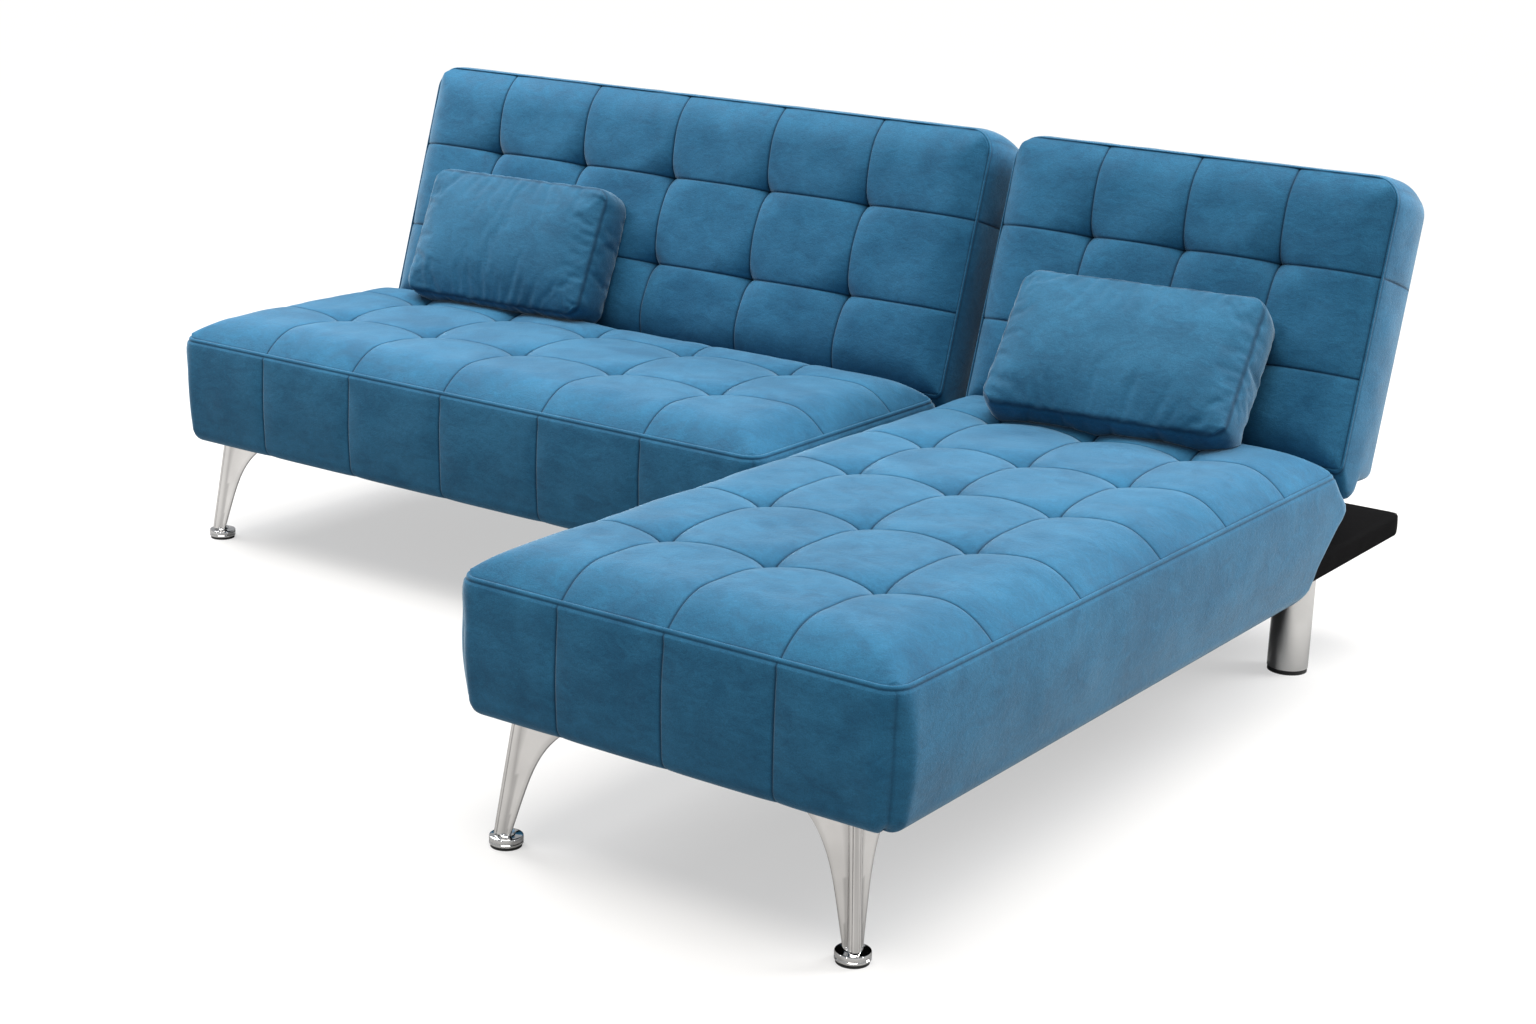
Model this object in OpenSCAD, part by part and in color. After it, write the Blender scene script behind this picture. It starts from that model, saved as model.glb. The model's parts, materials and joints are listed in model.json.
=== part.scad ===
// Two-piece corner sofa bed: a three-seat sofa and a chaise, side by side and hooked together.
// Each has a tufted seat on a steel frame, a click-clack back that folds down flat behind it,
// a low rear support that carries the folded back, splayed metal front legs and round rear legs.
// Origin: centre of the footprint on the floor. +X to the right, +Y to the rear, +Z up.

/* [Seats] */
// Width of the sofa seat
sofa_w = 1384; // [1200:1:1500]
// Depth of the sofa seat
sofa_d = 588; // [540:1:680]
// Width of the chaise seat
chaise_w = 740; // [680:1:820]
// Depth of the chaise seat
chaise_d = 1388; // [1200:1:1450]
// Gap between the two seats
unit_gap = 48; // [44:1:70]
// Height of the seats' top edge above the floor
seat_top = 400; // [390:1:420]
// Rise of the seats' crowned top above its edge
crown = 22; // [10:1:22]
// Thickness of the seats
seat_h = 206; // [202:1:210]
// Radius of the seats' rounded lower edges
seat_edge_r = 30; // [26:1:34]
// Thickness of the padded velvet covers
cover_t = 8; // [6:1:8]

/* [Backs] */
// Height of the backs along their slope
back_len = 505; // [440:1:560]
// Thickness of the backs
back_t = 145; // [140:1:146]
// Lean of the upright back from vertical, in degrees
back_lean = 17; // [14:1:20]
// Radius of the backs' upper corners
back_corner_r = 45; // [30:1:60]
// Set-back of the back's foot from the seat's rear edge
back_setback = 7; // [7:1:8]
// Depth of the hinge pin below the seat's top edge
pivot_drop = 40; // [40:1:41]

/* [Support] */
// Reach of the rear support behind the seat
support_reach = 362; // [340:1:420]
// Height of the top of the support's rails above the floor
support_top = 250; // [248:1:250]
// Height of the support's rails
rail_h = 38; // [36:1:40]
// Width of the support's rails
rail_w = 38; // [34:1:40]

/* [Legs] */
// Distance of a front foot's centre from the seat's side face
leg_in_x = 72; // [70:1:90]
// Distance of a front foot's centre from the seat's front face
leg_in_y = 34; // [32:1:44]
// Radius of the front feet
foot_r = 25; // [22:1:30]
// Radius of the rear legs
rear_leg_r = 36; // [30:1:38]
// Distance of a rear leg's centre from the seat's side face
rear_leg_in = 108; // [104:1:130]
// Distance of a rear leg's centre behind the seat
rear_leg_back = 111; // [105:1:125]

/* [Pillows] */
// Width of the chaise pillow
chaise_pillow_w = 430; // [380:1:460]
// Width of the sofa pillow
sofa_pillow_w = 418; // [380:1:460]
// Height of the pillows
pillow_h = 246; // [220:1:260]
// Thickness of the pillows
pillow_t = 84; // [70:1:90]
// Lean of the chaise pillow from vertical, in degrees
chaise_pillow_lean = 34; // [28:1:36]
// Lean of the sofa pillow from vertical, in degrees
sofa_pillow_lean = 24; // [22:1:30]

/* [Frame] */
// Side of the square steel tubes
tube = 30; // [28:1:32]
// Wall of the steel tubes
tube_wall = 1.5; // [1.2:0.1:2.5]
// Thickness of the hinge and mounting plates
plate = 4; // [3:0.5:4]
// Radius of the hinge pins
pin_r = 6; // [5:0.5:7]
// Running clearance round the hinge pins
pin_gap = 0.05; // [0.03:0.01:0.1]

/* [Hidden] */
$fn = 48;

velvet = "#3f7098";
foam_yellow = "#e6dcb0";
steel_grey = "#8d9196";
black = "#1d1e21";
chrome = "#d4d7da";

// How far a cutting shape runs past the face that it opens
cut = 1;
// Gap between parts that lie beside each other
clear = 0.5;

total_w = sofa_w + unit_gap + chaise_w;
total_d = chaise_d + support_reach;
// The line of the seats' rear edges
rear_y = total_d / 2 - support_reach;
sofa_x = -total_w / 2;
chaise_x = total_w / 2 - chaise_w;

// A unit is [left side, width, depth]
SOFA = [sofa_x, sofa_w, sofa_d];
CHAISE = [chaise_x, chaise_w, chaise_d];
function width(u) = u[1];
function depth(u) = u[2];

// Within a unit, x runs from its left side, y from its rear line (+ to the rear), z from the floor
seat_low = seat_top - seat_h;
pivot_z = seat_top - pivot_drop;
// The pin lies so far behind the back's foot that the folded back lies level with the seat
pivot_ratio = (1 - sin(back_lean)) / cos(back_lean);
pivot_y = back_setback + pivot_drop * pivot_ratio;
pivot_back = back_setback - pivot_y;
// The pin in the back's own frame: depth from its front face, height from its foot
pivot_o = -pivot_back * cos(back_lean) + pivot_drop * sin(back_lean);
pivot_h = -pivot_back * sin(back_lean) - pivot_drop * cos(back_lean);
cradle_r = 27;
rotor_r = 24;

// Distance from the seats' edges over which their crown rises
crown_run = 90;

// Seat frame, springs and foam
frame_in = 32;
frame_z = seat_low + 12;
frame_top = frame_z + tube;
spring_t = 3.5;
foam_z = frame_top + spring_t + 2.5;
rear_rail_y = -140;
dust_t = 3;
dust_in = seat_edge_r + 1;
gusset = 100;
gusset_t = 5;

// Hinges
hinge_in = 52;
bracket_x = hinge_in + plate + 0.6;
pawl_y = pivot_y - 44;
pawl_z = pivot_z - 26;
pawl_pin_r = 4;
slit_lo = hinge_in - 6;
slit_hi = hinge_in + 22;

// Upholstered panel that closes the rear of a back
panel_in = 22;
panel_low = 40;
panel_t = 4;

// Back frame
back_tube = 25;
back_tube_o = 95;
back_side_in = bracket_x + plate;
back_foot_h = 16;
back_top_h = back_len - 25;
foam_o = 85;

// Support
support_in = 27;
support_low = support_top - rail_h;
cross_w = 56;
cloth_t = 2;
arm_start = rear_rail_y + tube;

// Legs
leg_plate_z = seat_low - plate;
glide_h = 4;
rear_cap_h = 8;
foot_h = 16;
leg_lean = 6.4;
leg_screw_r = 4;
screw_head_r = 7;
screw_head_h = 4.5;
rear_plate_z = support_low - plate;
screw_in = 115;
screw_step = 35;
rear_screw_step = 46;

// Connectors, as distances from the seats' rear line and from the sofa's right side
connector_places = [-400, -190];
tongue_w = 40;
tongue_in = 70;
tongue_out = 42;
strap_t = 4;

// A pillow is [centre, width, lean, turn to the left]
CHAISE_PILLOW = [[chaise_x + chaise_w / 2 + 2, rear_y - 66, seat_top + 142],
    chaise_pillow_w, chaise_pillow_lean, 6];
SOFA_PILLOW = [[sofa_x + 391, rear_y - 30, seat_top + 154],
    sofa_pillow_w, sofa_pillow_lean, 4];
pillow_r = 30;
pillow_cloth = 4;
insert_in = 14;
zip_w = 14;
zip_ends = 60;

module at_unit(u) {
    translate([u[0], rear_y, 0]) children();
}

// Turns a drawing of (y, z) into a solid that runs from x = 0 to x = len
module along_x(len) {
    rotate([90, 0, 90]) linear_extrude(len) children();
}

// Turns a drawing of (x, z) into a solid that runs from y = -len to y = 0
module along_y(len) {
    rotate([90, 0, 0]) linear_extrude(len) children();
}

// Repeats a left-hand piece as its mirror image on the unit's right
module both_sides(u) {
    children();
    translate([width(u), 0, 0]) mirror([1, 0, 0]) children();
}

function arc(cx, cy, r, from, to, n = 10) =
    [for (i = [0:n]) let (a = from + (to - from) * i / n) [cx + r * cos(a), cy + r * sin(a)]];

// A square tube along X, Y or Z, with its lowest corner at p
module tube_along(axis, p, len, side = tube) {
    along = axis == "x" ? [1, 0, 0] : axis == "y" ? [0, 1, 0] : [0, 0, 1];
    across = [1, 1, 1] - along;
    translate(p) difference() {
        cube(along * len + across * side);
        translate(across * tube_wall - along * cut)
            cube(along * (len + 2 * cut) + across * (side - 2 * tube_wall));
    }
}

// ---- Seat ----

// Side outline of a seat as (y, z): crowned at the top, round at the front foot, and at the rear
// a hollow that cradles the hinge above a slanted underside
module seat_side(u, t = 0) {
    r = seat_edge_r - t;
    front = -depth(u) + t;
    low = seat_low + t;
    top = seat_top - t;
    back = t == 0 ? 0 : -t - 1;
    rear = t == 0
        ? concat([[-103, low], [-56, seat_low + 17], [-50, support_top], [44, pivot_z - 34]],
            arc(pivot_y, pivot_z, cradle_r, -72, -180))
        : [[-103 - t, low], [-64, seat_low + 22], [-57, support_top + 4], [6, pivot_z - 54],
            [6, pivot_z - 20], [0, pivot_z]];
    polygon(concat(arc(front + r, low + r, r, 180, 270), rear, [[back, top],
        [back - crown_run, top + crown], [front + crown_run, top + crown], [front, top]]));
}

// Front outline of a seat as (x, z)
module seat_front(u, t = 0) {
    r = seat_edge_r - t;
    low = seat_low + t;
    top = seat_top - t;
    right = width(u) - t;
    polygon(concat(arc(t + r, low + r, r, 180, 270), arc(right - r, low + r, r, 270, 360),
        [[right, top], [right - crown_run, top + crown], [t + crown_run, top + crown], [t, top]]));
}

// The seat's volume, t inside its outer faces
module seat_volume(u, t = 0) {
    intersection() {
        along_x(width(u)) seat_side(u, t);
        translate([0, 100, 0]) along_y(depth(u) + 200) seat_front(u, t);
    }
}

module seat_cover(u) {
    w = width(u);
    color(velvet) at_unit(u) difference() {
        seat_volume(u);
        seat_volume(u, cover_t);
        translate([dust_in, -depth(u) + dust_in, seat_low - cut])
            cube([w - 2 * dust_in, depth(u) - dust_in - 150, cover_t + 2 * cut]);
        both_sides(u) union() {
            translate([slit_lo, -15, pivot_z - 42]) cube([slit_hi - slit_lo, 80, 64]);
            translate([support_in - clear, arm_start - cut, support_low - clear])
                cube([rail_w + 2 * clear, 120, rail_h + 2 * clear]);
        }
    }
}

module seat_foam(u) {
    slit_y = -262;
    color(foam_yellow) at_unit(u) difference() {
        seat_volume(u, cover_t + clear);
        translate([-cut, -depth(u) - cut, seat_low - cut])
            cube([width(u) + 2 * cut, depth(u) + 100, foam_z - seat_low + cut]);
        both_sides(u) union() {
            translate([slit_lo, slit_y, foam_z - cut])
                cube([slit_hi - slit_lo, 300, seat_top - foam_z]);
            translate([support_in - clear, arm_start - cut, foam_z - cut])
                cube([rail_w + 2 * clear, 120, support_top + clear + cut - foam_z]);
        }
    }
}

// One zigzag spring lying along Y, as a flat ribbon of square wire
module zigzag(len, sweep, turns) {
    wire = spring_t;
    step = len / turns;
    side = [for (i = [0:turns]) [(i % 2 == 0 ? -1 : 1) * sweep / 2, i * step]];
    linear_extrude(wire) polygon(concat([for (p = side) [p[0] - wire, p[1]]],
        [for (i = [turns:-1:0]) [side[i][0] + wire, side[i][1]]]));
}

module seat_springs(u) {
    pitch = 115;
    inner_w = width(u) - 2 * (frame_in + tube) - 60;
    count = floor(inner_w / pitch) + 1;
    start = (width(u) - (count - 1) * pitch) / 2;
    len = depth(u) - frame_in + rear_rail_y + tube - 20;
    sweep = 50;
    color(steel_grey) at_unit(u) for (i = [0:count - 1])
        translate([start + i * pitch, -depth(u) + frame_in + 10, frame_top])
            zigzag(len, sweep, 2 * round(len / sweep));
}

module seat_frame(u) {
    w = width(u);
    d = depth(u);
    front = -d + frame_in;
    side_start = front + tube;
    side_len = rear_rail_y - side_start;
    bars = floor(d / 500);
    color(steel_grey) at_unit(u) difference() {
        union() {
            tube_along("x", [frame_in, front, frame_z], w - 2 * frame_in);
            tube_along("x", [frame_in, rear_rail_y, frame_z], w - 2 * frame_in);
            both_sides(u) tube_along("y", [frame_in, side_start, frame_z], side_len);
            for (i = [1:bars])
                tube_along("x", [frame_in + tube, side_start + side_len * i / (bars + 1), frame_z],
                    w - 2 * frame_in - 2 * tube);
            both_sides(u) translate([frame_in + tube, side_start, frame_z])
                cube([gusset, gusset, gusset_t]);
        }
        both_sides(u) leg_screw_places(u) translate([0, 0, frame_z - cut])
            cylinder(r = leg_screw_r + 0.1, h = gusset_t + 2 * cut);
    }
}

module dust_cover(u) {
    color(black) at_unit(u) difference() {
        translate([dust_in + clear, -depth(u) + dust_in + clear, seat_low])
            cube([width(u) - 2 * (dust_in + clear), depth(u) - dust_in - 150 - 2 * clear, dust_t]);
        both_sides(u) leg_screw_places(u) translate([0, 0, seat_low - cut])
            cylinder(r = leg_screw_r + 1, h = dust_t + 2 * cut);
    }
}

// ---- Hinges ----

// Steel plate on the seat frame that holds the hinge pin and the pawl
module hinge_plates(u) {
    color(steel_grey) at_unit(u) both_sides(u) translate([hinge_in, 0, 0]) along_x(plate) difference() {
        union() {
            polygon([[-250, frame_top], [-134, frame_top], [-118, support_top + 2], [-20, pivot_z - 34],
                [pawl_y + 3, pawl_z - 12], [pivot_y, pivot_z - 15], [pivot_y, pivot_z + 15],
                [-90, pivot_z + 5], [-250, frame_top + 40]]);
            translate([pivot_y, pivot_z]) circle(r = 18);
        }
        translate([pivot_y, pivot_z]) circle(r = pin_r + pin_gap);
        translate([pawl_y, pawl_z]) circle(r = pawl_pin_r + pin_gap);
    }
}

// A headed pin along X with a washer nut on its inner end, from the outer face of the hinge plate
module headed_pin(y, z, r, len) {
    translate([hinge_in, y, z]) rotate([0, 90, 0]) {
        translate([0, 0, -3.5]) cylinder(r = r + 4, h = 3);
        translate([0, 0, -cut]) cylinder(r = r, h = len);
        translate([0, 0, len - cut - 0.1]) cylinder(r = r + 3, h = 3);
    }
}

module hinge_pins(u) {
    color(steel_grey) at_unit(u) both_sides(u)
        headed_pin(pivot_y, pivot_z, pin_r, bracket_x - hinge_in + plate + cut + 0.6);
}

module pawl_pins(u) {
    color(steel_grey) at_unit(u) both_sides(u)
        headed_pin(pawl_y, pawl_z, pawl_pin_r, bracket_x - hinge_in + plate + cut + 6.6);
}

// Lever whose nose drops into the notches of the back bracket's rotor
module pawls(u) {
    nose = [pivot_y - rotor_r - 1.2, pivot_z];
    color(steel_grey) at_unit(u) both_sides(u) translate([bracket_x, 0, 0]) along_x(plate) difference() {
        union() {
            translate([pawl_y, pawl_z]) circle(r = 8);
            polygon([[pawl_y - 7, pawl_z + 3], [nose[0] - 9, nose[1] + 4], nose,
                [nose[0] - 2, nose[1] - 4], [pawl_y + 7, pawl_z + 2]]);
        }
        translate([pawl_y, pawl_z]) circle(r = pawl_pin_r + pin_gap);
    }
}

// Torsion spring round the pawl's pin
module pawl_springs(u) {
    color(steel_grey) at_unit(u) both_sides(u)
        translate([bracket_x + plate + clear, pawl_y, pawl_z]) rotate([0, 90, 0]) difference() {
            cylinder(r = 6.5, h = 5);
            translate([0, 0, -cut]) cylinder(r = pawl_pin_r + 0.3, h = 5 + 2 * cut);
        }
}

// ---- Back ----

// Places a drawing or solid of the back: x along the width, y as depth from the front face,
// z as height from the foot
module at_back(u) {
    at_unit(u) translate([0, back_setback, seat_top]) rotate([-back_lean, 0, 0]) children();
}

// Side outline of a back as (depth, height)
module back_side(t = 0) {
    top = back_len - t;
    outer = [[0, 0], [28, -38], [45, -43], [55, -38], [62, -12], [130, 0], [back_t, 25]];
    inner = [[t, 10], [44, 2], [64, 0], [126, 9], [back_t - t, 30]];
    polygon(concat(t == 0 ? outer : inner, [[back_t - t, top], [t, top]]));
}

// Front outline of a back as (x, height)
module back_front(u, t = 0) {
    r = back_corner_r - t;
    low = -60;
    polygon(concat([[t, low], [width(u) - t, low]], arc(width(u) - t - r, back_len - t - r, r, 0, 90),
        arc(t + r, back_len - t - r, r, 90, 180)));
}

module back_volume(u, t = 0) {
    intersection() {
        along_x(width(u)) back_side(t);
        translate([0, 200, 0]) along_y(400) back_front(u, t);
    }
}

module back_cover(u) {
    w = width(u);
    color(velvet) at_back(u) difference() {
        back_volume(u);
        back_volume(u, cover_t);
        translate([panel_in, back_t - cover_t - cut, panel_low])
            cube([w - 2 * panel_in, cover_t + 2 * cut, back_len - panel_low - 25]);
        both_sides(u) union() {
            translate([slit_lo, pivot_o, pivot_h]) rotate([0, 90, 0])
                cylinder(r = 44, h = slit_hi - slit_lo);
            translate([slit_lo, cover_t, -60]) cube([slit_hi - slit_lo, 112, 78]);
        }
    }
}

module back_foam(u) {
    color(foam_yellow) at_back(u) difference() {
        back_volume(u, cover_t + clear);
        translate([-cut, foam_o, -cut]) cube([width(u) + 2, 100, back_len + 2]);
        both_sides(u) translate([slit_lo, 0, -20]) cube([slit_hi - slit_lo, foam_o + cut, 95]);
    }
}

// Elastic straps across the frame, behind the foam
module back_webbing(u) {
    strap_w = 50;
    strap_t = 2;
    count = 4;
    step = (back_top_h - back_foot_h - 100) / (count - 1);
    color(black) at_back(u) for (i = [0:count - 1])
        translate([back_side_in + 5, back_tube_o - strap_t - 0.2, back_foot_h + 25 + i * step])
            cube([width(u) - 2 * back_side_in - 10, strap_t, strap_w]);
}

module back_frame(u) {
    w = width(u);
    inner = w - 2 * back_side_in;
    mid = (back_foot_h + back_top_h - back_tube) / 2;
    color(steel_grey) at_back(u) {
        tube_along("x", [back_side_in, back_tube_o, back_foot_h], inner, back_tube);
        tube_along("x", [back_side_in, back_tube_o, back_top_h - back_tube], inner, back_tube);
        tube_along("x", [back_side_in + back_tube, back_tube_o, mid], inner - 2 * back_tube, back_tube);
        both_sides(u) tube_along("z", [back_side_in, back_tube_o, back_foot_h + back_tube],
            back_top_h - back_foot_h - 2 * back_tube, back_tube);
    }
}

module back_panel(u) {
    fit = 0.4;
    color(velvet) at_back(u) translate([panel_in + fit, back_t - panel_t, panel_low + fit])
        cube([width(u) - 2 * (panel_in + fit), panel_t, back_len - panel_low - 25 - 2 * fit]);
}

// Plate on the back frame: an arm down to a round rotor on the hinge pin, with notches for the
// upright, half-way and flat positions
module back_brackets(u) {
    notches = [0, 35, 90 - back_lean];
    color(steel_grey) at_back(u) both_sides(u) translate([bracket_x, 0, 0]) along_x(plate) difference() {
        union() {
            translate([pivot_o, pivot_h]) circle(r = rotor_r);
            polygon([[pivot_o + 4, pivot_h + 18], [62, 8], [95, 24], [95, 200], [118, 200], [118, 17],
                [70, -4], [pivot_o + 20, pivot_h - 6]]);
        }
        translate([pivot_o, pivot_h]) circle(r = pin_r + pin_gap);
        for (a = notches)
            translate([pivot_o, pivot_h]) rotate(180 + a + back_lean)
                translate([rotor_r - 5, -3]) square([6, 6]);
    }
}

// ---- Rear support ----

module support_rails(u) {
    w = width(u);
    inner = w - 2 * support_in;
    spans = round(w / 600);
    leg_row = rear_leg_back - cross_w / 2;
    both_sides(u) translate([support_in, arm_start, support_low])
        cube([rail_w, support_reach - arm_start - 4, rail_h]);
    translate([support_in + rail_w, support_reach - rail_w - 4, support_low])
        cube([inner - 2 * rail_w, rail_w, rail_h]);
    translate([support_in + rail_w, leg_row, support_low]) cube([inner - 2 * rail_w, cross_w, rail_h]);
    for (i = [1:spans - 1])
        translate([w * i / spans - rail_w / 2, leg_row + cross_w, support_low])
            cube([rail_w, support_reach - rail_w - 4 - leg_row - cross_w, rail_h]);
}

module support_frame(u) {
    color(black) at_unit(u) difference() {
        support_rails(u);
        both_sides(u) rear_screw_places() translate([0, 0, support_low - cut])
            cylinder(r = leg_screw_r + 0.1, h = 22);
    }
}

// Black cloth over the support's top and down its sides
module support_cover(u) {
    w = width(u);
    r = 14;
    start = -44;
    out = support_in - cloth_t - 1;
    low = support_low + 2;
    high = support_top + cloth_t + clear;
    color(black) at_unit(u) difference() {
        intersection() {
            translate([out, start, low]) cube([w - 2 * out, support_reach - start, high - low]);
            along_x(w) polygon(concat([[start, low], [support_reach, low]],
                arc(support_reach - r, high - r, r, 0, 90), [[start, high]]));
        }
        translate([out + cloth_t, start - cut, low - cut])
            cube([w - 2 * (out + cloth_t), support_reach - start + cut - cloth_t,
                support_top + clear - low + cut]);
    }
}

// ---- Legs ----

module leg_places(u) {
    at_unit(u) both_sides(u) translate([leg_in_x, -depth(u) + leg_in_y, 0]) children();
}

// The screws of the left front leg, in the unit's own frame
module leg_screw_places(u) {
    for (i = [0:1], j = [0:1])
        translate([screw_in + i * screw_step, -depth(u) + screw_in - 32 + j * screw_step, 0]) children();
}

// One tall fin of a front leg, drawn as (outward distance, z), flaring towards the seat
module leg_fin() {
    fin_t = 8;
    top = leg_plate_z - foot_h - glide_h;
    flare = [[13, 0], [24, 45], [38, 87], [56, 126], [78, 164], [95, 184]];
    translate([0, -7, 0]) rotate([-leg_lean, 0, 0]) translate([0, fin_t / 2, 0]) rotate([90, 0, 0])
        linear_extrude(fin_t)
            polygon(concat([[12, top + 5], [-7, 0]], [for (p = flare) [p[0], p[1] * top / 184]],
                [[95, top + 5]]));
}

// A casting of two fins at right angles that meet in a rounded rib, on a round foot
module front_leg() {
    top = leg_plate_z - foot_h - glide_h;
    rib_r = 9.5;
    translate([0, 0, glide_h]) cylinder(r = foot_r, h = foot_h);
    intersection() {
        translate([0, 0, glide_h + foot_h - 0.5]) union() {
            leg_fin();
            mirror([1, -1, 0]) leg_fin();
            translate([-7, -7, 0]) rotate([-leg_lean, leg_lean, 0]) cylinder(r = rib_r, h = 230);
        }
        translate([-60, -60, glide_h + foot_h - 0.5]) cube([220, 220, top + 0.5]);
    }
}

module front_legs(u) {
    color(chrome) leg_places(u) front_leg();
}

// Mounting plates: one over each front leg and one over each rear leg
module leg_plates(u) {
    color(steel_grey) {
        at_unit(u) difference() {
            both_sides(u) translate([leg_in_x - 12, -depth(u) + leg_in_y + 4, leg_plate_z])
                cube([112, 112, plate]);
            both_sides(u) leg_screw_places(u) translate([0, 0, leg_plate_z - cut])
                cylinder(r = leg_screw_r + 0.4, h = plate + 2 * cut);
        }
        at_unit(u) difference() {
            both_sides(u) translate([rear_leg_in - 58, rear_leg_back - cross_w / 2, rear_plate_z])
                cube([116, cross_w, plate]);
            both_sides(u) rear_screw_places() translate([0, 0, rear_plate_z - cut])
                cylinder(r = leg_screw_r + 0.4, h = plate + 2 * cut);
        }
    }
}

module rear_screw_places() {
    for (s = [-1, 1])
        translate([rear_leg_in + s * rear_screw_step, rear_leg_back, 0]) children();
}

module rear_legs(u) {
    len = rear_plate_z - rear_cap_h;
    color(chrome) at_unit(u) both_sides(u) translate([rear_leg_in, rear_leg_back, rear_cap_h])
        difference() {
            cylinder(r = rear_leg_r, h = len);
            translate([0, 0, 6]) cylinder(r = rear_leg_r - 2, h = len);
        }
}

// Pads under the feet: a felt disc under each front foot and a black cap under each rear leg
module glides(u) {
    color(black) {
        leg_places(u) cylinder(r = foot_r - 2, h = glide_h);
        at_unit(u) both_sides(u) translate([rear_leg_in, rear_leg_back, 0])
            cylinder(r = rear_leg_r - 1, h = rear_cap_h);
    }
}

// Screws: four up through each front leg's plate and two up through each rear leg's plate
module leg_screw(z, len) {
    translate([0, 0, z - screw_head_h]) cylinder(r = screw_head_r, h = screw_head_h);
    translate([0, 0, z - cut]) cylinder(r = leg_screw_r, h = len + cut);
}

module leg_screws(u) {
    color(steel_grey) at_unit(u) both_sides(u) {
        leg_screw_places(u) leg_screw(leg_plate_z, 26);
        rear_screw_places() leg_screw(rear_plate_z, 22);
    }
}

// ---- Connectors between the two units ----

// Flat steel tongues under the sofa's right edge that reach across the gap
module connector_hooks() {
    color(steel_grey) for (y = connector_places)
        translate([sofa_x + sofa_w - tongue_in, rear_y + y, leg_plate_z])
            cube([tongue_in + unit_gap + tongue_out, tongue_w, plate]);
}

// Steel straps under the chaise's left edge that take the tongues
module connector_sockets() {
    wing = 16;
    gap = 0.6;
    len = 36;
    color(steel_grey) for (y = connector_places)
        translate([chaise_x + dust_in - 24, rear_y + y, leg_plate_z]) difference() {
            translate([0, -gap - strap_t - wing, -gap - strap_t])
                cube([len, tongue_w + 2 * (gap + strap_t + wing), plate + gap + strap_t]);
            translate([-cut, -gap, -gap])
                cube([len + 2 * cut, tongue_w + 2 * gap, plate + gap + cut]);
            for (side = [-gap - strap_t - wing - cut, tongue_w + gap + strap_t])
                translate([-cut, side, -gap - strap_t - cut])
                    cube([len + 2 * cut, wing + cut, plate + gap]);
        }
}

// ---- Pillows ----

module at_pillow(q) {
    translate(q[0]) rotate([0, 0, q[3]]) rotate([-q[2], 0, 0]) children();
}

module rounded_outline(w, h, r) {
    polygon(concat(arc(w / 2 - r, h / 2 - r, r, 0, 90), arc(r - w / 2, h / 2 - r, r, 90, 180),
        arc(r - w / 2, r - h / 2, r, 180, 270), arc(w / 2 - r, r - h / 2, r, 270, 360)));
}

module pillow_volume(q, t = 0) {
    w = q[1] - 2 * t;
    h = pillow_h - 2 * t;
    thick = pillow_t - 2 * t;
    intersection() {
        translate([0, thick / 2, 0]) along_y(thick) rounded_outline(w, h, pillow_r - t);
        translate([-w / 2, 0, 0]) along_x(w) rounded_outline(thick, h, pillow_r - t);
    }
}

module zip_slot(q, gap) {
    len = q[1] - 2 * zip_ends;
    translate([-len / 2 - gap, -zip_w / 2 - gap, -pillow_h / 2 - cut])
        cube([len + 2 * gap, zip_w + 2 * gap, pillow_cloth + 2 * cut]);
}

module pillow_cover(q) {
    color(velvet) at_pillow(q) difference() {
        pillow_volume(q);
        pillow_volume(q, pillow_cloth);
        zip_slot(q, 0.3);
    }
}

module pillow_insert(q) {
    color("white") at_pillow(q) pillow_volume(q, insert_in);
}

module pillow_zip(q) {
    len = q[1] - 2 * zip_ends;
    color(velvet) at_pillow(q) translate([-len / 2, -zip_w / 2, -pillow_h / 2])
        cube([len, zip_w, 3]);
}

seat_cover(SOFA);  // sofa_seat_cover
seat_foam(SOFA);  // sofa_seat_foam
seat_springs(SOFA);  // sofa_seat_springs
seat_frame(SOFA);  // sofa_seat_frame
dust_cover(SOFA);  // sofa_dust_cover
hinge_plates(SOFA);  // sofa_hinge_plates
hinge_pins(SOFA);  // sofa_hinge_pins
pawls(SOFA);  // sofa_pawls
pawl_pins(SOFA);  // sofa_pawl_pins
pawl_springs(SOFA);  // sofa_pawl_springs
back_cover(SOFA);  // sofa_back_cover
back_foam(SOFA);  // sofa_back_foam
back_webbing(SOFA);  // sofa_back_webbing
back_frame(SOFA);  // sofa_back_frame
back_panel(SOFA);  // sofa_back_panel
back_brackets(SOFA);  // sofa_back_brackets
support_frame(SOFA);  // sofa_support_frame
support_cover(SOFA);  // sofa_support_cover
front_legs(SOFA);  // sofa_front_legs
leg_plates(SOFA);  // sofa_leg_plates
glides(SOFA);  // sofa_glides
rear_legs(SOFA);  // sofa_rear_legs
leg_screws(SOFA);  // sofa_leg_screws
pillow_cover(SOFA_PILLOW);  // sofa_pillow_cover
pillow_insert(SOFA_PILLOW);  // sofa_pillow_insert
pillow_zip(SOFA_PILLOW);  // sofa_pillow_zip
seat_cover(CHAISE);  // chaise_seat_cover
seat_foam(CHAISE);  // chaise_seat_foam
seat_springs(CHAISE);  // chaise_seat_springs
seat_frame(CHAISE);  // chaise_seat_frame
dust_cover(CHAISE);  // chaise_dust_cover
hinge_plates(CHAISE);  // chaise_hinge_plates
hinge_pins(CHAISE);  // chaise_hinge_pins
pawls(CHAISE);  // chaise_pawls
pawl_pins(CHAISE);  // chaise_pawl_pins
pawl_springs(CHAISE);  // chaise_pawl_springs
back_cover(CHAISE);  // chaise_back_cover
back_foam(CHAISE);  // chaise_back_foam
back_webbing(CHAISE);  // chaise_back_webbing
back_frame(CHAISE);  // chaise_back_frame
back_panel(CHAISE);  // chaise_back_panel
back_brackets(CHAISE);  // chaise_back_brackets
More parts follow.
